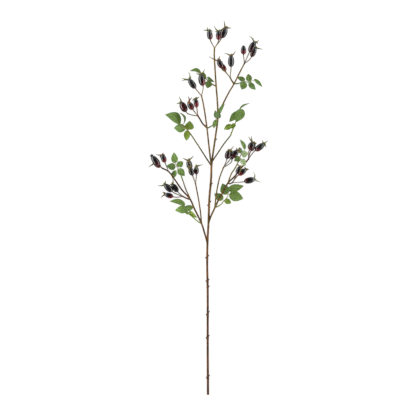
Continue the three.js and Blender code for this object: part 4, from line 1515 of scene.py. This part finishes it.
@dataclass
class Stem:
    """A woody piece, with its buds, its pores and its knob.

    Attributes:
        name: The name of its node.
        plan: Its route, radii, colours and buds.
        spacing: How far apart the points of its core are, in millimetres.
        sides: How many sides its section has.
        flare: How much thicker it is where it leaves its parent, as a share.
        flare_length: How far along the stem that fades, in millimetres.
        knob: The radius of its knob, in millimetres.
        knob_reach: How far back the knob swells the stem, in its radii.
        knob_rows: Where the knob's rounded end has its rows, in its radii.
        ripple: The height of its ripples, in millimetres.
        grain: How fine they are.
        bud: The form of its buds.
        cut_rows: Where the face of the cut has its rows, as shares of the radius.
        cut_bulge: How far that face stands out at its middle, how much it rises from its rim
            towards the pith, and how far its rim stands out, in millimetres.
    """

    name: str
    plan: StemPlan
    spacing: float = 1.5
    sides: int = 16
    flare: float = 0.3
    flare_length: float = 3.5
    knob: float = 1.8
    knob_reach: float = 1.5
    knob_rows: tuple[float, ...] = (0.35, 0.65, 0.85, 0.97)
    ripple: float = 0.16
    grain: float = 350.0
    bud: BudForm = BudForm()
    cut_rows: tuple[float, ...] = (0.28, 0.6, 0.85, 0.97)
    cut_bulge: tuple[float, float, float] = (0.02, 0.12, 0.05)

    def core(self) -> tuple[np.ndarray, np.ndarray]:
        """Runs its core along its route.

        Returns:
            The points of its core, and its radius at each.
        """
        route = np.array(self.plan.route, float)
        length = np.linalg.norm(np.diff(route, axis=0), axis=1).sum()
        line = through(self.plan.route, max(8, round(length / self.spacing)))
        reach = np.linspace(0, length, len(line))
        radii = np.interp(reach, (0, length), self.plan.radii)
        if self.name != TRUNK:
            radii *= 1 + self.flare * np.exp(-reach / self.flare_length)
        for height, _ in self.plan.buds:
            away = (line[:, 1] - height + self.bud.drop) / self.bud.spread
            radii *= 1 + self.bud.swell * np.exp(-(away**2))
        if self.plan.knob:
            line, radii = self._knobbed(line, radii)
        return line, radii

    def _knobbed(self, line: np.ndarray, radii: np.ndarray) -> tuple[np.ndarray, np.ndarray]:
        """Ends a core in a knob.

        Args:
            line: The core.
            radii: Its radii.

        Returns:
            The longer core and its radii.
        """
        way = unit(line[-1] - line[-2])
        gap = np.linalg.norm(line - line[-1], axis=1)
        swell = np.sqrt(np.clip(1 - (gap / (self.knob * self.knob_reach)) ** 2, 0, 1))
        radii = np.maximum(radii, self.knob * swell)
        lifts = np.array(self.knob_rows)
        past = line[-1] + way * (lifts * self.knob)[:, None]
        return np.vstack((line, past)), np.append(radii, self.knob * np.sqrt(1 - lifts**2))

    def buds(self) -> list[Strand]:
        """Gives its buds, each from the nearest point of its core."""
        line, _ = self.core()
        return [self.bud.strand(line[np.abs(line[:, 1] - height).argmin()], side)
                for height, side in self.plan.buds]

    def foot(self) -> Part:
        """Closes its foot where it was cut across.

        Returns:
            A shallow disc, a little hollow at the pith.
        """
        line, radii = self.core()
        way = unit(line[0] - line[1])
        across = unit(np.cross(way, UP))
        up = np.cross(across, way)
        middle, pith, rim = self.cut_bulge
        turns = np.linspace(0, math.tau, self.sides, endpoint=False)
        points = [line[0] + way * middle]
        for share in self.cut_rows:
            bulge = rim + pith * (1 - share**2)
            for turn in turns:
                spoke = across * math.cos(turn) + up * math.sin(turn)
                points.append(line[0] + spoke * radii[0] * share + way * bulge)
        hub = [(0, 1 + i, 1 + (i + 1) % self.sides) for i in range(self.sides)]
        rings = lattice(len(self.cut_rows), self.sides, closed=True)
        faces = hub + [(1 + a, 1 + d, 1 + c, 1 + b) for a, b, c, d in rings]
        radius = np.concatenate(([0.0], np.repeat(self.cut_rows, self.sides)))
        uvs = np.array([(radius[v], 0.0) for face in faces for v in face])
        return Part(placed(np.array(points)), faces, uvs, np.ones((len(points), 3)), Look.CUT)

    def build(self, shop: Workshop, seed: int) -> bpy.types.Object:
        """Makes the piece.

        Args:
            shop: The shared trees.
            seed: What makes its bark differ from the others'.

        Returns:
            The finished piece.
        """
        line, radii = self.core()
        main = Strand(placed(line), radii * MM, tuple(rgb(code) for code in self.plan.bark))
        settings = {"ripple": self.ripple * MM, "grain": self.grain, "seed": float(seed)}
        bark = shop.round.sweep([main], Look.BARK, self.sides, **settings)
        parts = [bark, shop.warts.part(bark, seed)]
        if self.plan.buds:
            parts.append(shop.round.sweep(self.buds(), Look.BARK, 10, **settings))
        if self.name == TRUNK:
            parts.append(self.foot())
        return make_piece(f"{self.name}_bark", parts)


# ---- Hips ----


@dataclass(frozen=True)
class FruitForm:
    """Where a fruit is widest, and how blunt its ends are."""

    broadest: float
    base: float
    tip: float

    def share(self, t: float) -> float:
        """Gives a fruit's width along its length.

        Args:
            t: The share of its length.

        Returns:
            The share of its full width.
        """
        if t < self.broadest:
            return math.sqrt(max(0.0, 1 - ((self.broadest - t) / self.broadest) ** self.base))
        return math.sqrt(max(0.0, 1 - ((t - self.broadest) / (1 - self.broadest)) ** self.tip))


@dataclass(frozen=True)
class SepalForm:
    """A dry sepal, in millimetres.

    Attributes:
        count: How many a hip has.
        points: How many points its core has.
        shares: The shares of its length where its width is given.
        widths: Its half width there.
        flatness: Its thickness, as a share of its width.
        rises: How far the listed ones point up, by turns, in degrees.
        spare: The length of the ones that aren't listed.
        floor: How high its core stays above the surface.
        bow: How far it bends sideways, as a share of its length.
        curl: How far one that lies on the fruit turns round it, in degrees.
    """

    count: int = 5
    points: int = 14
    shares: tuple[float, ...] = (0, 0.22, 0.7, 0.86, 0.94, 1)
    widths: tuple[float, ...] = (1.15, 1.4, 0.75, 0.6, 0.5, 0.35)
    flatness: float = 0.38
    rises: tuple[float, float] = (14, -6)
    spare: float = 5.5
    floor: float = 0.35
    bow: float = 0.16
    curl: float = 12

    def radii(self) -> np.ndarray:
        """Gives its half width at each point of its core, in metres."""
        return np.interp(np.linspace(0, 1, self.points), self.shares, self.widths) * MM


RIPE_FORM = FruitForm(0.46, 2.3, 2.1)
YOUNG_FORM = FruitForm(0.36, 2.2, 1.6)
SEPAL_RAMP = ((rgb("5f6a2c"), rgb("888a46"), rgb("b4b292")), (rgb("a8602a"), rgb("84603e"), rgb("98867a")))
CREAM = rgb("d6d4ba")
ASH = rgb("55565a")
# the rows below a fruit's base: a share of its length, and the radius there in millimetres
NECK = ((-0.07, 0.9), (-0.035, 1.02))
NECK_RADIUS = 1.2  # of a fruit's base, in millimetres
CROWN_FROM = 0.955  # where a ripe fruit's crown starts, as a share of its length
CROWN_WIDTH = 0.2  # the radius of the crown's rim, as a share of the fruit's width
# the rows of the crown: a share of the fruit's length, and the radius there as a share of the rim's
CROWN = ((0.968, 0.97), (0.985, 1.04), (1.0, 1.0), (1.004, 0.88), (0.99, 0.7), (0.982, 0.35))
WOBBLE = ((2, 0.02), (3, 0.014), (5, 0.01))  # how many times a fruit is out of round, and how far


@dataclass
class Hip:
    """A fruit with its stalk, its crown of sepals and its dry threads.

    Attributes:
        name: The name of its node.
        plan: Its place, size and colours.
        fork: Where its stalk leaves the twig.
        seed: What makes it differ from the others.
        rows: How many rows of faces its fruit has.
        sides: How many sides its fruit has.
        dent: How fine its dents are, and how deep, as a share of its radius.
        lopsided: How much further its red reaches on its side, as a share of its length.
        stalk_radii: The stalk's radius at the fork and at the fruit, in millimetres.
        dried: The form of its sepals.
    """

    name: str
    plan: HipPlan
    fork: np.ndarray
    seed: int
    rows: int = 30
    sides: int = 36
    dent: tuple[float, float] = (0.16, 0.035)
    lopsided: float = 0.55
    stalk_radii: tuple[float, float] = (0.85, 1.1)
    dried: SepalForm = SepalForm()
    random: np.random.Generator = field(init=False)

    def __post_init__(self) -> None:
        """Sets its axes and its own random numbers."""
        plan = self.plan
        self.random = np.random.default_rng(self.seed)
        self.axis = pointing(plan.heading, plan.rise)
        self.top = unit(UP - self.axis * (UP @ self.axis))
        self.across = np.cross(self.axis, self.top)
        self.foot = np.array(plan.base, float)
        self.tip = self.foot + self.axis * plan.long
        self.form = YOUNG_FORM if plan.bare else RIPE_FORM

    def spoke(self, turn: float) -> np.ndarray:
        """Gives the direction out from the axis at a turn, in radians, from its top."""
        return self.top * math.cos(turn) + self.across * math.sin(turn)

    def profile(self) -> list[tuple[float, float, bool]]:
        """Gives the fruit's outline from its stalk to its crown.

        Returns:
            For each row, its share of the length, its radius, and whether it is of the crown.
        """
        plan = self.plan
        last = 1.0 if plan.bare else CROWN_FROM
        rows = [(t, radius, False) for t, radius in NECK]
        for i in range(self.rows):  # they lie closer together towards both ends
            t = last * (1 - math.cos(math.pi * (i + 0.35) / (self.rows - 0.65))) / 2
            radius = self.form.share(t) * (plan.wide / 2)
            if t < 0.1:  # the base is never thinner than its neck
                radius = (radius**3 + NECK_RADIUS**3) ** (1 / 3)
            rows.append((t, radius, False))
        if not plan.bare:
            rows += [(t, plan.wide * CROWN_WIDTH * share, True) for t, share in CROWN]
        return rows

    def shell(self, rows: Sequence[tuple[float, float, bool]], turns: np.ndarray) -> np.ndarray:
        """Gives the fruit's vertices, a little out of round and dented.

        Args:
            rows: The fruit's outline.
            turns: The turn of each column.

        Returns:
            The vertices, row by row, with the middle of its tip last.
        """
        plan = self.plan
        spokes = np.array([self.spoke(turn) for turn in turns])
        phases = self.random.uniform(0, math.tau, len(WOBBLE))
        wobble = sum(size * np.cos(count * turns + phase) for (count, size), phase in zip(WOBBLE, phases))
        offset = Vector(self.random.uniform(-9, 9, 3))
        fine, deep = self.dent
        points = []
        for t, radius, _ in rows:  # the base is round, and the wobble grows over the first fifth
            swell = radius * (1 + wobble * min(1.0, max(0.0, t * 5)))
            ring = self.foot + self.axis * (t * plan.long) + spokes * swell[:, None]
            dents = np.array([smooth_noise.noise(Vector(spot) * fine + offset) for spot in ring])
            points.append(ring + spokes * (dents * deep * radius)[:, None])
        shell = np.vstack([*points, self.foot + self.axis * (rows[-1][0] * plan.long)])
        shell[:, 2] = np.maximum(shell[:, 2], 0.05)  # it lies on the surface, and not in it
        return shell

    def fruit(self) -> list[Part]:
        """Makes the fruit.

        Returns:
            Its skin, and the disc of its crown if it has one.
        """
        plan = self.plan
        rows = self.profile()
        turns = np.linspace(0, math.tau, self.sides, endpoint=False)
        shell = self.shell(rows, turns)
        faces = lattice(len(rows), self.sides, closed=True)
        crown_faces = [face for face in faces if rows[face[0] // self.sides][2]]
        skin_faces = [face for face in faces if not rows[face[0] // self.sides][2]]
        last = (len(rows) - 1) * self.sides
        cap = [(last + i, last + (i + 1) % self.sides, len(shell) - 1) for i in range(self.sides)]
        (skin_faces if plan.bare else crown_faces).extend(cap)
        # the skin's second coordinate is 0 at the edge of the red, and 1 at the crown
        shares = np.append(np.repeat([t for t, _, _ in rows], self.sides), rows[-1][0])
        if plan.side is not None:
            far = (1 - np.cos(turns - math.radians(plan.side))) / 2
            shares = shares + self.lopsided * np.append(np.tile(far, len(rows)), 0.5)
        ripeness = (shares - plan.blush) / (1 - plan.blush)
        parts = [self.patch(shell, skin_faces, ripeness, rgb(plan.red), Look.SKIN)]
        if crown_faces:
            parts.append(self.patch(shell, crown_faces, shares * plan.long * MM, self.dry(0.5), Look.SEPAL))
        return parts

    def patch(self, shell: np.ndarray, faces: Sequence[tuple[int, ...]], heights: np.ndarray,
              colour: Rgb, look: Look) -> Part:
        """Makes a part of some of the fruit's faces.

        Args:
            shell: All the fruit's vertices.
            faces: The faces.
            heights: The second coordinate of each vertex.
            colour: The part's colour.
            look: What it is finished as.

        Returns:
            The part.
        """
        spans = [(i + 0.5) / self.sides for i in range(self.sides)]
        uvs = np.array([
            (spans[face[0] % self.sides] + (0.5 if k in (1, 2) else -0.5) / self.sides, heights[v])
            for face in faces for k, v in enumerate(face)
        ])
        used, index = np.unique(np.concatenate([np.array(face) for face in faces]), return_inverse=True)
        sizes = np.cumsum([0, *(len(face) for face in faces)])
        renamed = [tuple(int(v) for v in index[a:b]) for a, b in zip(sizes, sizes[1:])]
        return Part(placed(shell[used]), renamed, uvs, np.tile(colour, (len(used), 1)), look)

    def dry(self, at: float) -> Rgb:
        """Gives the colour of the sepals.

        Args:
            at: The share of their length.

        Returns:
            The colour there.
        """
        olive, rusty = (np.array(ramp) for ramp in SEPAL_RAMP)
        ramp = olive * (1 - self.plan.rust) + rusty * self.plan.rust
        goal = np.array(CREAM if self.plan.fade > 0 else ASH)
        ramp = ramp + (goal - ramp) * abs(self.plan.fade)
        return tuple(float(np.interp(at, (0, 0.5, 1), ramp[:, channel])) for channel in range(3))

    def stalk(self) -> Strand:
        """Makes its stalk.

        Returns:
            The strand, which swells at the fork and where it meets the fruit.
        """
        plan = self.plan
        root = np.array(plan.root, float) if plan.root else self.fork
        bend = self.foot - self.axis * (0.25 * np.linalg.norm(self.foot - root))
        line = bent(root, bend, self.foot - self.axis * (0.05 * plan.long), 18)
        share = np.linspace(0, 1, len(line))
        radii = np.interp(share, (0, 1), self.stalk_radii) * (1 + 0.25 * np.exp(-share * 9))
        colour = np.array(rgb(plan.stalk))
        return Strand(placed(line), radii * MM, (tuple(colour * 0.8), tuple(colour), tuple(colour * 1.05)))

    def sepal(self, direction: np.ndarray, length: float) -> Strand:
        """Gives a sepal that leaves the crown's rim and spreads.

        Args:
            direction: Where it ends, from the tip of the fruit.
            length: How far it reaches.

        Returns:
            The strand.
        """
        plan, dried = self.plan, self.dried
        outward = unit(direction - self.axis * (direction @ self.axis))
        root = self.tip + outward * (0.17 * plan.wide) - self.axis * (0.03 * plan.long)
        end = self.tip + direction * length
        end[2] = max(end[2], dried.floor)
        side = unit(np.cross(direction, UP))
        bow = side * self.random.uniform(-dried.bow, dried.bow) * length
        middle = root + (outward * 0.45 + self.axis * 0.55 + direction) * (0.3 * length) + bow
        line = bent(root, middle, end, dried.points)
        line[:, 2] = np.maximum(line[:, 2], dried.floor)
        return Strand(placed(line), dried.radii(), tuple(self.dry(at) for at in (0, 0.5, 1)))

    def cloak(self, turn: float, length: float) -> Strand:
        """Gives a sepal laid back over the fruit.

        Args:
            turn: Degrees round the fruit from its top.
            length: How far it reaches along the fruit.

        Returns:
            The strand.
        """
        plan, dried = self.plan, self.dried
        points = []
        for share in np.linspace(0, 1, dried.points):
            t = 0.985 - share * length / plan.long
            radius = max(self.form.share(min(t, CROWN_FROM)) * plan.wide / 2, CROWN_WIDTH * plan.wide)
            out = self.spoke(math.radians(turn + dried.curl * share)) * (radius * 1.04 + 0.5 + 0.5 * share**2)
            points.append(self.foot + self.axis * (t * plan.long) + out)
        return Strand(placed(np.array(points)), dried.radii(), tuple(self.dry(at) for at in (0, 0.4, 0.8)))

    def sepals(self) -> list[Strand]:
        """Makes all its sepals.

        Returns:
            The spreading ones, those laid back, and spare ones up to the full count.
        """
        plan, dried = self.plan, self.dried
        strands = []
        for i, (heading, length) in enumerate(plan.sepals):
            strands.append(self.sepal(pointing(heading, dried.rises[i % 2]), length))
        strands += [self.cloak(turn, length) for turn, length in plan.cloak]
        side = unit(np.cross(self.axis, UP))
        for i in range(len(strands), dried.count):
            way = self.axis * 0.7 + UP * (1 if i % 2 else -1) + side * (i - 2) * 0.35
            strands.append(self.sepal(unit(way), dried.spare))
        return strands

    def threads(self, shop: Workshop) -> Part:
        """Sets the dry threads on the crown.

        Args:
            shop: The shared trees.

        Returns:
            The part.
        """
        part = shop.tuft.part(self.seed % 5, Look.SEPAL, self.dry(0.35))
        frame = np.array((self.top, self.across, self.axis))
        size = self.plan.wide / 11  # the tuft is made for a fruit 11 mm wide
        part.points = placed((part.points / MM * size) @ frame + self.tip - self.axis * 0.4)
        return part

    def build(self, shop: Workshop) -> bpy.types.Object:
        """Makes the piece.

        Args:
            shop: The shared trees.

        Returns:
            The finished piece.
        """
        parts = self.fruit()
        bark = {"ripple": 0.08 * MM, "grain": 700.0, "seed": self.seed}
        parts.append(shop.round.sweep([self.stalk()], Look.BARK, 10, **bark))
        if not self.plan.bare:
            dry = {"flatness": self.dried.flatness, "ripple": 0.12 * MM, "grain": 600.0, "seed": self.seed}
            parts.append(shop.flat.sweep(self.sepals(), Look.SEPAL, 8, **dry))
            parts.append(self.threads(shop))
        return make_piece(f"{self.name}_fruit", parts)


# ---- Leaves ----


@dataclass
class Leaflet:
    """A toothed blade, folded up along its midrib.

    Attributes:
        plan: Its place, size and green.
        seed: What makes it differ from the others.
        teeth: How many teeth it has on a side.
        steps: How many rows of faces a tooth has.
        halves: Where its columns lie, as shares of its half width.
        broadest: Where it is widest, as a share of its length.
        point: How pointed it is.
        fold: How far its edges rise, as a share of its half width.
        tooth: How far its teeth stand out, as a share of its half width.
        puff: How far it swells between its side veins, in millimetres.
        wave: How far it waves, as a share of its half width.
        curl: How steeply its edges curl up.
        thick: Its thickness, in millimetres.
        keel: How far its midrib stands out beneath, in millimetres.
    """

    plan: LeafletPlan
    seed: int
    teeth: int = 11
    steps: int = 4
    halves: tuple[float, ...] = (0.06, 0.2, 0.38, 0.56, 0.74, 0.88, 0.96, 1.0)
    broadest: float = 0.4
    point: float = 1.65
    fold: float = 0.22
    tooth: float = 0.085
    puff: float = 0.3
    wave: float = 0.16
    curl: float = 0.25
    thick: float = 0.34
    keel: float = 0.35

    def __post_init__(self) -> None:
        """Sets its axes."""
        self.base = np.array(self.plan.base, float)
        self.along = np.array(self.plan.tip, float) - self.base
        level = unit(np.cross(self.along, UP))
        angle = math.radians(self.plan.roll)
        forward = unit(self.along)
        self.right = level * math.cos(angle) - np.cross(forward, level) * math.sin(angle)
        self.normal = unit(np.cross(self.right, self.along))

    def midrib(self, t: float) -> np.ndarray:
        """Gives the point of its midrib at a share of its length."""
        return self.base + self.along * t + self.normal * (self.plan.arch * math.sin(math.pi * t))

    def share(self, t: float) -> float:
        """Gives its width along its length.

        Args:
            t: The share of its length.

        Returns:
            The share of its full width.
        """
        if t < self.broadest:
            return math.sqrt(max(0.0, 1 - ((self.broadest - t) / self.broadest) ** 2))
        return 1 - ((t - self.broadest) / (1 - self.broadest)) ** self.point

    def surface(self) -> tuple[np.ndarray, np.ndarray, np.ndarray]:
        """Gives the middle of its thickness.

        Returns:
            The points by row and column, the sides of the columns, and the shares of the rows.
        """
        half = np.array(self.halves)
        sides = np.concatenate((-half[::-1], [0.0], half))
        count = self.teeth * self.steps
        # the rows lie a little closer together towards the tip
        shares = np.concatenate(([0.0], 1 - (1 - (np.arange(count) + 0.5) / count) ** 1.06, [1.0]))
        offset = Vector(np.random.default_rng(self.seed).uniform(-9, 9, 3))
        rows = []
        for i, t in enumerate(shares):
            tooth = ((i - 1) % self.steps) / (self.steps - 1) if 0 < i <= count else 0.0
            width = self.plan.wide / 2 * self.share(t)
            ends = min(1.0, t * 8, (1 - t) * 8)  # teeth and relief fade over an eighth at both ends
            row = []
            for side in sides:
                far = abs(side)
                reach = side * width * (1 + self.tooth * (tooth - 0.35) * ends * far**9)
                swell = math.cos(math.tau * SIDE_VEINS * (t - VEIN_LEAN * far))
                puff = self.puff * swell * far * (1 - far) * ends
                noise = smooth_noise.noise(Vector((t * 2.6, side * 1.4, 0)) + offset)
                curl = self.curl * width * max(0.0, far - 0.75) * ends
                lift = self.fold * width * far + puff + noise * self.wave * width * far + curl
                row.append(self.midrib(t) + self.right * reach + self.normal * lift)
            rows.append(row)
        return np.array(rows), sides, shares

    def parts(self) -> list[Part]:
        """Makes the leaflet.

        Returns:
            Its upper and its lower face, which meet at its edge.
        """
        middle, sides, shares = self.surface()
        rows, columns = middle.shape[:2]
        inner = (1 - np.abs(sides) ** 6)[None, :, None]  # 0 at the edge, where the faces meet
        ridge = np.exp(-((sides / 0.12) ** 2))[None, :, None] * (1 - shares)[:, None, None]
        upper = middle + self.normal * (self.thick / 2) * inner
        lower = middle - self.normal * ((self.thick / 2) * inner + self.keel * ridge * inner)
        for sheet, floor in ((upper, 0.3), (lower, 0.06)):  # how high each face stays, at least
            sheet[:, :, 2] = np.maximum(sheet[:, :, 2], floor)
        faces = lattice(rows, columns, closed=False)
        uvs = np.array([((sides[v % columns] + 1) / 2, shares[v // columns]) for face in faces for v in face])
        tint = np.tile(rgb(self.plan.tone.value), (rows * columns, 1))
        over = Part(placed(upper.reshape(-1, 3)), faces, uvs, tint, Look.BLADE_TOP)
        turned = [face[::-1] for face in faces]
        turned_uvs = uvs.reshape(-1, 4, 2)[:, ::-1].reshape(-1, 2)
        under = Part(placed(lower.reshape(-1, 3)), turned, turned_uvs, tint.copy(), Look.BLADE_UNDER)
        return [over, under]


@dataclass
class Leaf:
    """A compound leaf: a green stalk with toothed leaflets on short stalks of their own.

    Attributes:
        name: The name of its node.
        plan: Its route, leaflets and colours.
        seed: What makes it differ from the others.
        radii: The green stalk's radius at its foot and at its end, in millimetres.
        short_radii: The radius of a leaflet's stalk at both ends, in millimetres.
        hold: How far into a leaflet its stalk reaches, as a share of its length.
    """

    name: str
    plan: LeafPlan
    seed: int
    radii: tuple[float, float] = (1.4, 0.7)
    short_radii: tuple[float, float] = (0.5, 0.3)
    hold: float = 0.14

    def stalks(self, leaflets: Sequence[Leaflet]) -> list[Strand]:
        """Gives its green stalk and the leaflets' own stalks.

        Args:
            leaflets: The leaflets.

        Returns:
            The strands.
        """
        line = through(self.plan.rachis, 30)
        foot, end = (rgb(code) for code in self.plan.stalk)
        strands = [Strand(placed(line), np.linspace(*self.radii, len(line)) * MM, (foot, end))]
        for leaflet in leaflets:
            root = line[np.linalg.norm(line - leaflet.base, axis=1).argmin()]
            hold = leaflet.midrib(self.hold)
            core = bent(root, leaflet.base * 0.7 + root * 0.3, hold, 8)
            strands.append(Strand(placed(core), np.linspace(*self.short_radii, 8) * MM, (end, end)))
        return strands

    def build(self, shop: Workshop) -> bpy.types.Object:
        """Makes the piece.

        Args:
            shop: The shared trees.

        Returns:
            The finished piece.
        """
        leaflets = [Leaflet(plan, self.seed * 10 + i) for i, plan in enumerate(self.plan.leaflets)]
        green = {"ripple": 0.06 * MM, "grain": 700.0, "seed": self.seed}
        parts = [shop.round.sweep(self.stalks(leaflets), Look.SEPAL, 8, **green)]
        for leaflet in leaflets:
            parts += leaflet.parts()
        return make_piece(f"{self.name}_blades", parts)


# ---- Studio ----


@dataclass(frozen=True)
class Softbox:
    """A large soft light that looks at the sprig.

    Attributes:
        place: Where it stands, in metres.
        size: Its width and its length, in metres.
        glow: Its radiance, in watts per steradian and square metre.
        mirrored: Whether glossy skins show it.
    """

    place: Point
    size: tuple[float, float]
    glow: float
    mirrored: bool = True

    def build(self, number: int) -> None:
        """Makes the light.

        Args:
            number: Its number, which names it.
        """
        data = bpy.data.lights.new(f"softbox_{number}", "AREA")
        data.shape = "RECTANGLE"
        data.size_y, data.size = self.size
        data.energy = self.glow * math.pi * self.size[0] * self.size[1]
        light = bpy.data.objects.new(data.name, data)
        light.location = self.place
        aim = Vector((-self.place[0], 0, -self.place[2]))
        light.rotation_euler = aim.to_track_quat("-Z", "Y").to_euler()
        light.visible_glossy = self.mirrored
        bpy.context.scene.collection.objects.link(light)


@dataclass(frozen=True)
class Studio:
    """A pale floor, soft light from both sides, and a camera straight above.

    Attributes:
        lens: The camera's focal length, in millimetres.
        field: The width of what it sees, in metres, at the height of the sprig.
        height: The height of the sprig's middle, in metres.
        sensor: The width of the camera's sensor, in millimetres.
        floor: How wide the floor is, in metres.
        grey: How much light the floor gives back.
        shine: How much it gives of its own, so that it stays pale under the sprig.
        horizon: How bright the sky is at the horizon.
        zenith: How bright it is overhead.
        below: How much of the horizon's light is left beneath it.
        boxes: The lights.
    """

    lens: float = 200.0
    field: float = 0.832
    height: float = 0.02
    sensor: float = 36.0
    floor: float = 9.0
    grey: float = 0.3
    shine: float = 0.85
    horizon: float = 0.7
    zenith: float = 0.05
    below: float = 0.1
    boxes: tuple[Softbox, ...] = (
        Softbox((-1.48, 0.3, 0.52), (0.72, 3.2), 3.3),
        Softbox((1.48, 0.3, 0.52), (0.72, 3.2), 2.8),
        Softbox((0.0, 0.0, 5.6), (3.0, 3.0), 2.7, mirrored=False),
    )

    def build_camera(self) -> None:
        """Makes the camera."""
        data = bpy.data.cameras.new("camera")
        data.lens = self.lens
        data.sensor_width = self.sensor
        data.clip_end = 50.0
        camera = bpy.data.objects.new("camera", data)
        distance = self.field * self.lens / self.sensor
        camera.location = (-MIDDLE[0] * MM, 0.0, distance + self.height)
        bpy.context.scene.collection.objects.link(camera)
        bpy.context.scene.camera = camera

    def build_floor(self) -> None:
        """Makes the floor."""
        half = self.floor / 2
        mesh = bpy.data.meshes.new("floor")
        corners = [(-half, -half, 0), (half, -half, 0), (half, half, 0), (-half, half, 0)]
        mesh.from_pydata(corners, [], [(0, 1, 2, 3)])
        floor = bpy.data.objects.new("floor", mesh)
        material = bpy.data.materials.new("floor")
        material.use_nodes = True
        skin = material.node_tree.nodes["Principled BSDF"].inputs
        skin["Base Color"].default_value = (self.grey, self.grey, self.grey, 1)
        skin["Roughness"].default_value = 0.9
        skin["Specular IOR Level"].default_value = 0.1
        skin["Emission Color"].default_value = (1.0, 1.0, 1.0, 1)
        skin["Emission Strength"].default_value = self.shine
        mesh.materials.append(material)
        bpy.context.scene.collection.objects.link(floor)
        floor.visible_glossy = False  # a glossy skin shows dark rims, as over a black flag

    def build_sky(self) -> None:
        """Makes a soft sky, bright near the horizon, dimmer overhead and dark below."""
        world = bpy.data.worlds.new("sky")
        world.use_nodes = True
        graph = Graph(world.node_tree)
        way = graph.add("ShaderNodeTexCoord").outputs["Generated"]
        height = graph.add("ShaderNodeSeparateXYZ", {0: way}).outputs[2]
        above = graph.ease(height, 0.0, 0.6, self.horizon, self.zenith)
        glow = graph.sum("MULTIPLY", above, graph.ease(height, -0.1, 0.0, self.below, 1.0))
        tint = graph.add("ShaderNodeCombineColor", {0: glow, 1: glow, 2: glow})
        background = world.node_tree.nodes["Background"]
        world.node_tree.links.new(tint.outputs[0], background.inputs["Color"])
        bpy.context.scene.world = world

    def build(self) -> None:
        """Makes the camera, the floor, the sky and the lights."""
        self.build_camera()
        self.build_floor()
        self.build_sky()
        for number, box in enumerate(self.boxes, 1):
            box.build(number)
        bpy.context.scene.view_settings.view_transform = "Standard"


# ---- Assembly ----


def hand_over(piece: bpy.types.Object, node: str) -> None:
    """Puts a piece in the place of its node, and reports it.

    Args:
        piece: The finished piece.
        node: The node that it stands for.
    """
    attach(piece, "root")
    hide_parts(node)
    low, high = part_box(node)
    points = np.array([vertex.co for vertex in piece.data.vertices])
    proud = max((np.array(low) - points.min(0)).max(), (points.max(0) - np.array(high)).max())
    faces = len(piece.data.polygons)
    log.info("%s: %d faces, at most %.1f mm proud of its node", piece.name, faces, proud / MM)


def build_sprig() -> None:
    """Makes every stem, hip and leaf."""
    for finish in FINISHES:
        finish.build()
    shop = Workshop()
    for seed, (name, plan) in enumerate(STEMS.items(), 1):
        hand_over(Stem(name, plan).build(shop, seed), name)
    for group, (on, plans) in HIPS.items():
        fork = np.array(STEMS[on].route[-1], float)
        for number, plan in enumerate(plans, 1):
            name = f"{group}_hip_{number}"
            seed = sum(map(ord, name))
            hand_over(Hip(name, plan, fork, seed).build(shop), name)
    for seed, (name, plan) in enumerate(LEAVES.items(), 1):
        hand_over(Leaf(name, plan, seed).build(shop), name)


def main() -> None:
    """Dresses the frame, sets the studio round it and notes how much room it takes."""
    logging.basicConfig(level=logging.INFO, format="%(name)s: %(message)s")
    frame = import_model()
    log.info("%d nodes to dress", len(frame["nodes"]))
    Studio().build()
    build_sprig()
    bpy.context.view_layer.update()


if __name__ == "__main__":
    main()
